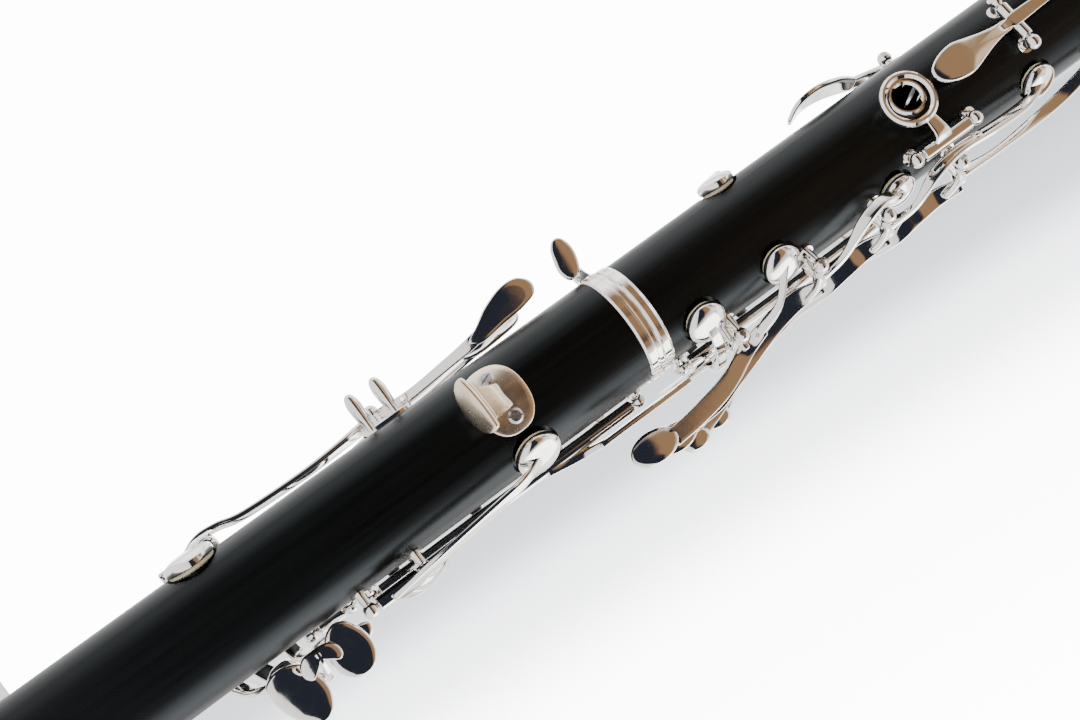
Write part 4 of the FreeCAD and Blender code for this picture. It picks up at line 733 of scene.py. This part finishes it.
# Each side lever: (station, angle, radius, height) points of its strap from the touch up, points of
# the link from the strap to the hinge tube, points from the hinge to the cup, and its touch as
# station, angle, radius, half length, half width and thickness.
SIDE_LEVERS = {
    "side_1": (
        [(-9.0, -92, 28.5, 4.4), (-2.0, -92, 27.9, 4.6), (6.0, -92, 26.7, 4.6), (12.0, -92, 25.0, 4.2),
         (18.5, -92, 22.2, 4.0), (24.0, -88, 20.9, 3.4)],
        [],
        [(22.0, -90, 21.0), (30.0, -77, 19.8)],
        (-14.0, -92, 27.5, 6.5, 4.2, 1.5)),
    "side_2": (
        [(-2.0, -106, 28.8, 3.0), (6.0, -103, 28.2, 3.2), (12.0, -101, 26.4, 3.2), (18.5, -101, 24.2, 4.0),
         (28.0, -99, 20.8, 5.4), (36.5, -96, 19.6, 5.0), (43.0, -91, 20.8, 3.6)],
        [(39.0, -93, 21.2), (41.0, -88, 21.0), (42.5, -83, 20.3), (43.5, -78, 19.6)],
        [(50.0, -72, 20.4), (58.0, -60, 19.0), (65.0, -55, 18.4), (70.0, -63, 17.6)],
        (-6.5, -107, 28.6, 6.0, 3.6, 1.5)),
    "side_3": (
        [(1.0, -114, 32.2, 2.6), (8.0, -116, 30.4, 2.6), (20.0, -119, 26.6, 2.6), (34.0, -115, 22.6, 2.8),
         (44.0, -103, 21.6, 3.6), (52.0, -97, 20.2, 5.0), (58.5, -95, 19.8, 4.8), (64.0, -91, 20.9, 3.6)],
        [(60.0, -93, 21.2), (62.2, -88, 21.0), (64.0, -83, 20.3), (65.0, -78, 19.6)],
        [(72.0, -70, 21.4), (80.0, -61, 19.9), (89.0, -58, 18.9), (100.0, -61, 18.9), (111.0, -64, 18.2)],
        (-1.5, -114, 32.6, 4.0, 2.7, 2.4)),
    "side_4": (
        [(10.5, -126, 33.4, 2.6), (17.0, -128, 30.0, 2.6), (26.0, -130, 25.8, 2.6), (38.0, -128, 22.9, 2.4),
         (56.0, -122, 22.0, 2.6), (67.0, -104, 21.8, 3.4), (75.0, -98, 20.4, 4.8), (82.5, -96, 20.0, 4.6),
         (88.0, -92, 21.0, 3.4)],
        [(84.0, -94, 21.2), (86.2, -89, 21.0), (88.0, -85, 20.3), (89.0, -80, 19.6)],
        [(100.0, -82, 20.6), (119.0, -84, 19.6), (131.0, -79, 18.4)],
        (8.0, -126, 34.0, 4.0, 2.7, 2.4)),
}
TOUCH_TILT = math.radians(14)
STRAP_THICKNESS = 1.5


def make_side_key(name):
    """A strap on edge from an oval touch to the cross hinge, and the arm from there to the cup."""
    strap, link, beyond, touch = SIDE_LEVERS[name]
    station, pad_angle, diameter = PADS[name]
    hinge_station, hinge_angle, radius, _ = CROSS_HINGES[name]
    middle_angle = strap[len(strap) // 2][1]
    pieces = [tube(name)]
    if link:
        pieces.append(arm([at(*point) for point in link], [3.0, 3.0, 2.8, 2.8], [1.6, 1.6, 1.6, 1.8]))
    else:
        rise = [at(hinge_station, hinge_angle, radius + height) for height in (0.0, 2.4)]
        pieces.append(arm(rise, [3.8, 3.4], [2.0, 2.0], flat=AXIAL))
    pieces.append(arm([at(s, a, r) for s, a, r, _ in strap], [height for _, _, _, height in strap],
                      [STRAP_THICKNESS] * len(strap), flat=sideways(middle_angle)))
    start = [at(hinge_station, hinge_angle, radius + 0.7)] if link else []
    path = start + [at(*point) for point in beyond] + [cup_roof(station, pad_angle)]
    heights = [3.0, 1.8] + [3.2] * (len(path) - 3) + [2.0]
    thicknesses = [STRAP_THICKNESS] * (len(path) - 1) + [1.3]
    pieces.append(arm(path, heights, thicknesses, flat=sideways(beyond[-1][1])))
    touch_station, touch_angle, touch_radius, half_length, half_width, thickness = touch
    across = outward(touch_angle) * math.cos(TOUCH_TILT) + sideways(touch_angle) * math.sin(TOUCH_TILT)
    middle = at(touch_station, touch_angle, touch_radius)
    corners = [math.radians(45 * i) for i in range(8)]
    rim = [middle + across * (half_width * math.cos(t)) + AXIAL * (half_length * math.sin(t))
           for t in corners]
    pieces.append(plate(rim, thickness))
    pieces.append(make_cup(station, pad_angle, diameter))
    return joined(pieces)


def make_register():
    """The teardrop thumb lever, its cross hinge and the long arm to the vent's cup."""
    height = 17.4
    outline = [(93.0, 0.0), (94.0, 2.2), (97.5, 4.0), (102.0, 4.6), (106.5, 3.5), (110.0, 2.5), (114.0, 1.7),
               (117.5, 1.3)]
    points = [V(x, height, JOINT + s) for s, x in outline]
    points += [V(-x, height, JOINT + s) for s, x in reversed(outline[1:])]
    touch = plate(points, 1.7, dome=1.0)
    cup = make_cup(VENT_STATION, 0, 8.4, UPPER_R + 1.3)
    link = arm([at(115.0, 0, 17.5), at(117.0, 0, 17.6), at(119.5, 0, 17.9), at(128, 0, 18.6),
                at(140, 0, 18.8), at(148, 0, 18.6), at(VENT_STATION, 0, 18.1)],
               [2.0, 2.6, 3.6, 3.0, 2.8, 2.8, 2.8], [2.6, 2.4, 2.2, 1.5, 1.4, 1.4, 1.3])
    return joined([tube("register"), touch, cup, link])


def make_throat_a():
    """The throat A key at the top of the front."""
    station, angle, diameter = PADS["throat_a"]
    link = arm([at(104, 172, 18.4), at(112, 172, 18.2), at(119, 172, 18.0), at(126, 172, 18.4),
                cup_roof(station, angle)],
               [5.0, 3.4, 3.4, 3.0, 2.6], [1.4, 1.5, 1.8, 1.4, 1.2])
    touch = plate([at(s, 172, 18.4) + sideways(172) * x for s, x in
                   ((90, 0), (92, 3.0), (97, 4.2), (102, 3.4), (106, 1.8), (106, -1.8), (102, -3.4),
                    (97, -4.2), (92, -3.0))], 1.4)
    return joined([tube("throat_a"), link, touch, make_cup(station, angle, diameter)])


def make_throat_g_sharp():
    """The throat G sharp key, with a long arched touch at the left."""
    station, angle, diameter = PADS["throat_g_sharp"]
    link = arm([at(86, 104, 17.6), at(92, 112, 18.0), at(98, 118, 18.0), at(105, 123, 18.2),
                cup_roof(station, angle)],
               [3.6, 3.4, 3.4, 3.0, 2.6], [1.4, 1.5, 1.8, 1.4, 1.2])
    touch = arm([at(65.5, 92, 17.2), at(69.5, 90, 18.7), at(75, 90, 19.0), at(81, 94, 18.2),
                 at(87, 105, 17.6)],
                [3.0, 7.6, 8.6, 6.6, 3.8], [1.0, 1.4, 1.5, 1.4, 1.4])
    return joined([tube("throat_g_sharp"), link, touch, make_cup(station, angle, diameter)])


def half_tube(first):
    """The half of the levers' shared hinge that one lever turns on."""
    centre, direction, half = hinge_line("lever_e")
    reach = half - BALL_R - POST_GAP
    if first:
        return cylinder(centre, direction, TUBE_RADIUS, reach, -POST_GAP)
    return cylinder(centre, direction, TUBE_RADIUS, -POST_GAP, reach)


def make_lever_e():
    """The left hand's E lever, from its spatula over the saddle to the E key's lug."""
    spatula = fin([(-33.5, 18.2), (-29.5, 20.6), (-25.0, 23.2), (-19.5, 25.0), (-14.8, 24.8), (-12.2, 22.2),
                   (-13.0, 19.2), (-17.5, 17.8), (-24.0, 17.2), (-30.5, 16.6)], 86, 1.5)
    line = arm([at(-121.0, 104, 15.7), at(-116.5, 104, 17.2), at(-110.5, 104, 20.2), at(-105, 104.5, 20.2),
                at(-98, 106, 18.8), at(-80, 109, 18.8), at(-64, 110.5, 20.2), at(-58, 110, 20.0),
                at(-51, 104, 18.6), at(-42, 95, 18.0), at(-33, 88, 18.2), at(-25, 86, 19.5)],
               [2.4, 2.6, 2.8, 2.8, 2.8, 3.0, 3.4, 3.4, 2.6, 2.6, 3.0, 3.2],
               [1.2, 1.3, 1.3, 1.3, 1.3, 1.4, 1.6, 1.6, 1.5, 1.5, 1.5, 1.4], ending=sideways(84), spans=5.4)
    return joined([half_tube(True), spatula, line])


def make_lever_f_sharp():
    """The left hand's F sharp lever, which runs beside the other one under the F sharp key."""
    spatula = fin([(-35.5, 18.2), (-31.0, 19.8), (-26.0, 21.2), (-21.0, 21.6), (-18.0, 20.0), (-19.4, 17.8),
                   (-25.0, 16.9), (-32.0, 16.7)], 104, 1.4)
    line = arm([at(-108.6, 126, 15.0), at(-102, 127, 15.7), at(-94, 129, 17.2), at(-80, 130, 18.6),
                at(-64, 124.5, 20.2), at(-56, 124, 20.0), at(-46, 116, 18.6), at(-36, 107, 18.2),
                at(-27, 104, 18.6)],
               [2.2, 2.4, 2.8, 3.0, 3.4, 3.2, 2.6, 2.6, 3.0], [0.8, 1.0, 1.2, 1.3, 1.6, 1.6, 1.5, 1.5, 1.4],
               ending=sideways(86), spans=4.4)
    return joined([half_tube(False), spatula, line])


def wrapped(station, angle, half_wide, half_tall, low, high, power=2.0, steps=56):
    """A plate curved round the body between two radii, with an oval outline and a rounded edge."""
    roll = (high - low) * 0.45
    rows = [(0.0, low), (1.0, low), (1.0, high - roll)]
    rows += [(1.0 - roll * (1 - math.cos(t)) / half_wide, high - roll + roll * math.sin(t))
             for t in (math.radians(30), math.radians(60), math.radians(90))]
    rows += [(0.8, high), (0.5, high), (0.25, high), (0.0, high)]
    rings = []
    for part, radius in rows:
        if part == 0.0:
            rings.append([at(station, angle, radius)])
            continue
        ring = []
        for i in range(steps):
            t = 2 * math.pi * i / steps
            x = math.copysign(abs(math.cos(t)) ** (2 / power), math.cos(t)) * half_wide * part
            y = math.copysign(abs(math.sin(t)) ** (2 / power), math.sin(t)) * half_tall * part
            ring.append(at(station + y, angle + math.degrees(x / LOWER_R), radius))
        rings.append(ring)
    return stack(rings)


def make_saddle():
    """A curved base on the wood, with cheeks for the levers' rod and two tall guides."""
    centre, direction, half = hinge_line("lever_e")
    shapes = [wrapped(-59.6, 110, 8.8, 7.0, LOWER_R, LOWER_R + 1.1, 5.0)]
    turns = [math.radians(12 * i) for i in range(1, 15)]
    round_side = [(BALL_R * math.sin(t), -BALL_R * math.cos(t)) for t in turns]
    ball = [(0.0, -BALL_R)] + round_side + [(0.0, BALL_R)]
    for side in (-1, 1):
        spot = centre + direction * (side * half)
        away = V(spot.x, spot.y, 0).normalized()
        root = V(0, 0, spot.z) + away * (LOWER_R + 0.4)
        shapes.append(spun(ball, spot, away, 40))
        rise = V(spot.x, spot.y, 0).length - LOWER_R - 1.0
        foot = [(0, 0), (1.9, 0), (1.6, 0.5), (1.1, rise * 0.6), (1.1, rise), (0, rise)]
        shapes.append(spun(foot, root, away, 32))
    for station in (-64.2, -57.2):
        bullet = [(0, LOWER_R + 0.3), (1.1, LOWER_R + 0.4), (1.15, 16.8), (1.5, 17.6), (1.72, 19.5),
                  (1.78, 21.4), (1.62, 22.8), (1.25, 23.9), (0.7, 24.6), (0, 24.85)]
        shapes.append(spun(bullet, V(0, 0, JOINT + station), outward(79), 36))
    return joined(shapes)


def make_thumb_rest():
    """An oval plate curved to the body, with a band that rises to a D-shaped lip over the thumb."""
    base = wrapped(-38.9, 0, 8.9, 6.9, LOWER_R, LOWER_R + 1.2, 2.3)
    # Station, radius, width and thickness of the band.
    rows = [(-37.6, LOWER_R + 0.7, 6.4, 0.9), (-39.4, LOWER_R + 1.5, 7.4, 1.3),
            (-41.2, LOWER_R + 3.4, 8.0, 1.6), (-42.8, LOWER_R + 5.8, 8.8, 1.8),
            (-44.2, LOWER_R + 8.0, 10.8, 1.9)]
    path = [at(s, 0, r) for s, r, _, _ in rows]
    band = arm(path, [w for _, _, w, _ in rows], [t for _, _, _, t in rows], flat=V(0, 0.55, 0.83))
    ridge = at(-44.6, 0, LOWER_R + 8.8)
    down = V(0, -0.91, -0.42)
    lip = plate([ridge + V(x, 0, 0) + down * d for x, d in
                 ((-6.2, 0.0), (0, -0.5), (6.2, 0.0), (7.2, 1.6), (6.6, 4.0), (4.2, 6.2), (0, 7.1),
                  (-4.2, 6.2), (-6.6, 4.0), (-7.2, 1.6))], 1.7, dome=0.2)
    return joined([base, band, lip])


# ---------------------------------------------------------------- pieces in place of the CAD ones
MERGE_DISTANCE = 1e-7
SHARP_ANGLE = math.radians(42)


def put(name, shape, node, body, look=None):
    """Build one finished piece, hang it on its moving body and hide the CAD piece it stands for."""
    points, faces = shape
    mesh = bpy.data.meshes.new(name)
    work = bmesh.new()
    corners = [work.verts.new(point * MM) for point in points]
    for face in faces:
        work.faces.new([corners[i] for i in face])
    bmesh.ops.remove_doubles(work, verts=work.verts, dist=MERGE_DISTANCE)
    bmesh.ops.recalc_face_normals(work, faces=work.faces)
    for face in work.faces:
        face.smooth = True
    work.to_mesh(mesh)
    work.free()
    mesh.set_sharp_from_angle(angle=SHARP_ANGLE)
    obj = bpy.data.objects.new(name, mesh)
    scene.collection.objects.link(obj)
    mesh.materials.append(look or LOOKS[SLOT_OF[node]])
    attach(obj, body)
    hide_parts(node)


LOWER_BRIDGE = (-22.0, 4.6, 1.95, -36.0, -20.0)
UPPER_BRIDGE = (15.0, -1.2, -1.95, 22.5, 13.5)
FINISHED = [
    ("lower_ring_key", "lower_rings", make_ring_key("lower_rings", [-30.0, -54.0, -78.0], LOWER_BRIDGE)),
    ("upper_ring_key", "upper_rings", make_ring_key("upper_rings", [28.0, 51.0], UPPER_BRIDGE)),
    ("sliver_key_lower", "sliver_lower", make_sliver_lower()),
    ("a_flat_key", "a_flat", make_a_flat()),
    ("f_sharp_key", "f_sharp", make_f_sharp()),
    ("f_key", "f", make_f()),
    ("e_key", "e", make_e()),
    ("c_sharp_key", "c_sharp", make_c_sharp()),
    ("sliver_key_upper", "sliver_upper", make_sliver_upper()),
    ("thumb_ring_key", "thumb_ring", make_thumb_ring()),
    ("register_key", "register", make_register()),
    ("throat_a_key", "throat_a", make_throat_a()),
    ("throat_g_sharp_key", "throat_g_sharp", make_throat_g_sharp()),
    ("e_lever", "lever_e", make_lever_e()),
    ("f_sharp_lever", "lever_f_sharp", make_lever_f_sharp()),
    ("lever_saddle", "instrument", make_saddle()),
]
FINISHED += [(name + "_key", name, make_side_key(name)) for name in SIDE_LEVERS]
for node, body, shape in FINISHED:
    put(node + "_finish", shape, node, body)
put("thumb_rest_finish", make_thumb_rest(), "thumb_rest", "instrument", BRUSHED)

# ---------------------------------------------------------------- floor and lights
FLOOR_RADIUS = 3.0
FLOOR_DROP = 0.0005
FLOOR_SIDES = 72
floor_mesh = bpy.data.meshes.new("floor")
floor_rim = [outward(360 // FLOOR_SIDES * i) * FLOOR_RADIUS - AXIAL * FLOOR_DROP for i in range(FLOOR_SIDES)]
floor_mesh.from_pydata(floor_rim, [], [tuple(reversed(range(FLOOR_SIDES)))])
floor = bpy.data.objects.new("floor", floor_mesh)
scene.collection.objects.link(floor)
floor_look = Look("floor_paper")
floor_look.set(Base_Color=(0.86, 0.865, 0.87, 1.0), Roughness=0.7)
floor_mesh.materials.append(floor_look.material)


def area_light(name, place, aim, wide, tall, colour):
    """A soft rectangle of light that the camera doesn't see."""
    data = bpy.data.lights.new(name, "AREA")
    data.shape = "RECTANGLE"
    data.size = wide
    data.size_y = tall
    data.energy = LIGHT_WATTS
    data.color = colour
    light = bpy.data.objects.new(name, data)
    scene.collection.objects.link(light)
    direction = Vector(aim) - Vector(place)
    light.matrix_world = Matrix.Translation(place) @ direction.to_track_quat("-Z", "Y").to_matrix().to_4x4()
    light.visible_camera = False


LIGHT_WATTS = 10.0
MIDDLE = (0.0, 0.0, 0.33)
area_light("side", (-1.2, -0.4, 0.5), MIDDLE, 0.9, 1.2, (0.95, 0.98, 1.0))
area_light("front", (0.4, -1.4, 0.8), MIDDLE, 1.2, 1.2, (1.0, 1.0, 1.0))

# ---------------------------------------------------------------- surroundings
# A pale tent all round, with the darker, warmer room behind the camera for the metal to reflect.
DARK = (0.020, 0.024, 0.036)
BROWN = (0.36, 0.215, 0.115)
TAN = (1.0, 0.72, 0.48)
LIGHT = (2.1, 2.08, 2.05)
TENT = (2.4, 2.4, 2.4)
WHITE = (14.0, 14.1, 14.3)
ROOM_BANDS = [(0.0, DARK), (0.43, DARK), (0.45, BROWN), (0.56, BROWN), (0.60, TAN), (0.64, TAN),
              (0.67, BROWN), (0.70, DARK), (0.735, DARK), (0.765, LIGHT), (1.0, LIGHT)]
TENT_BANDS = [(0.30, (0.75, 0.74, 0.74)), (0.44, (1.7, 1.7, 1.7)), (0.55, TENT), (1.0, TENT)]
# Near-white paper with a painted shadow: the greys from 0.455 to 0.60 darken a band below the keys.
PAPER_AND_PAINTED_SHADOW_BANDS = [(0.0, WHITE), (0.39, WHITE), (0.455, (1.25, 1.34, 1.42)), (0.525, (1.7, 1.8, 1.9)),
               (0.60, (4.2, 4.3, 4.5)), (0.72, (11.0, 11.1, 11.3)), (1.0, WHITE)]

world = bpy.data.worlds.new("studio")
scene.world = world
world.use_nodes = True
sky = Graph(world.node_tree)
direction = sky.node("ShaderNodeTexCoord").outputs["Generated"]


def share_along(line):
    """How far the sky's direction points along a line."""
    made = sky.node("ShaderNodeVectorMath", operation="DOT_PRODUCT")
    made.inputs[1].default_value = line
    sky.link(direction, made.inputs[0])
    return made.outputs["Value"]


def blended(factor, first, second):
    """A mix of two colours; sockets 6 and 7 and output 2 are the node's colour ones."""
    made = sky.node("ShaderNodeMix", data_type="RGBA")
    sky.link(factor, made.inputs["Factor"])
    sky.link(first, made.inputs[6])
    sky.link(second, made.inputs[7])
    return made.outputs[2]


split = sky.node("ShaderNodeSeparateXYZ")
sky.link(direction, split.inputs[0])
cloud = sky.noise(direction, 2.6, 1.0, 0.5)
band = sky.multiply_add(cloud, 0.08, sky.multiply_add(split.outputs["Z"], 0.5, 0.27))
room = sky.ramp(band, ROOM_BANDS)
behind = sky.ramp(share_along(-FORWARD), [(0.05, (0, 0, 0)), (0.42, (1, 1, 1))])
lit = blended(behind, sky.ramp(cloud, TENT_BANDS), room)
# The camera sees white paper instead, with a painted shadow: a soft blue-grey band that darkens the
# background just below the keys, where the instrument's shadow would fall.
painted_shadow_side = share_along(RIGHT * 0.552 - UP * 0.834)
paper_and_painted_shadow = sky.ramp(sky.multiply_add(painted_shadow_side, 2.0, 0.4), PAPER_AND_PAINTED_SHADOW_BANDS, "EASE")
camera_ray = sky.node("ShaderNodeLightPath").outputs["Is Camera Ray"]
background = sky.tree.nodes["Background"]
sky.link(blended(camera_ray, lit, paper_and_painted_shadow), background.inputs["Color"])
background.inputs["Strength"].default_value = 1.0
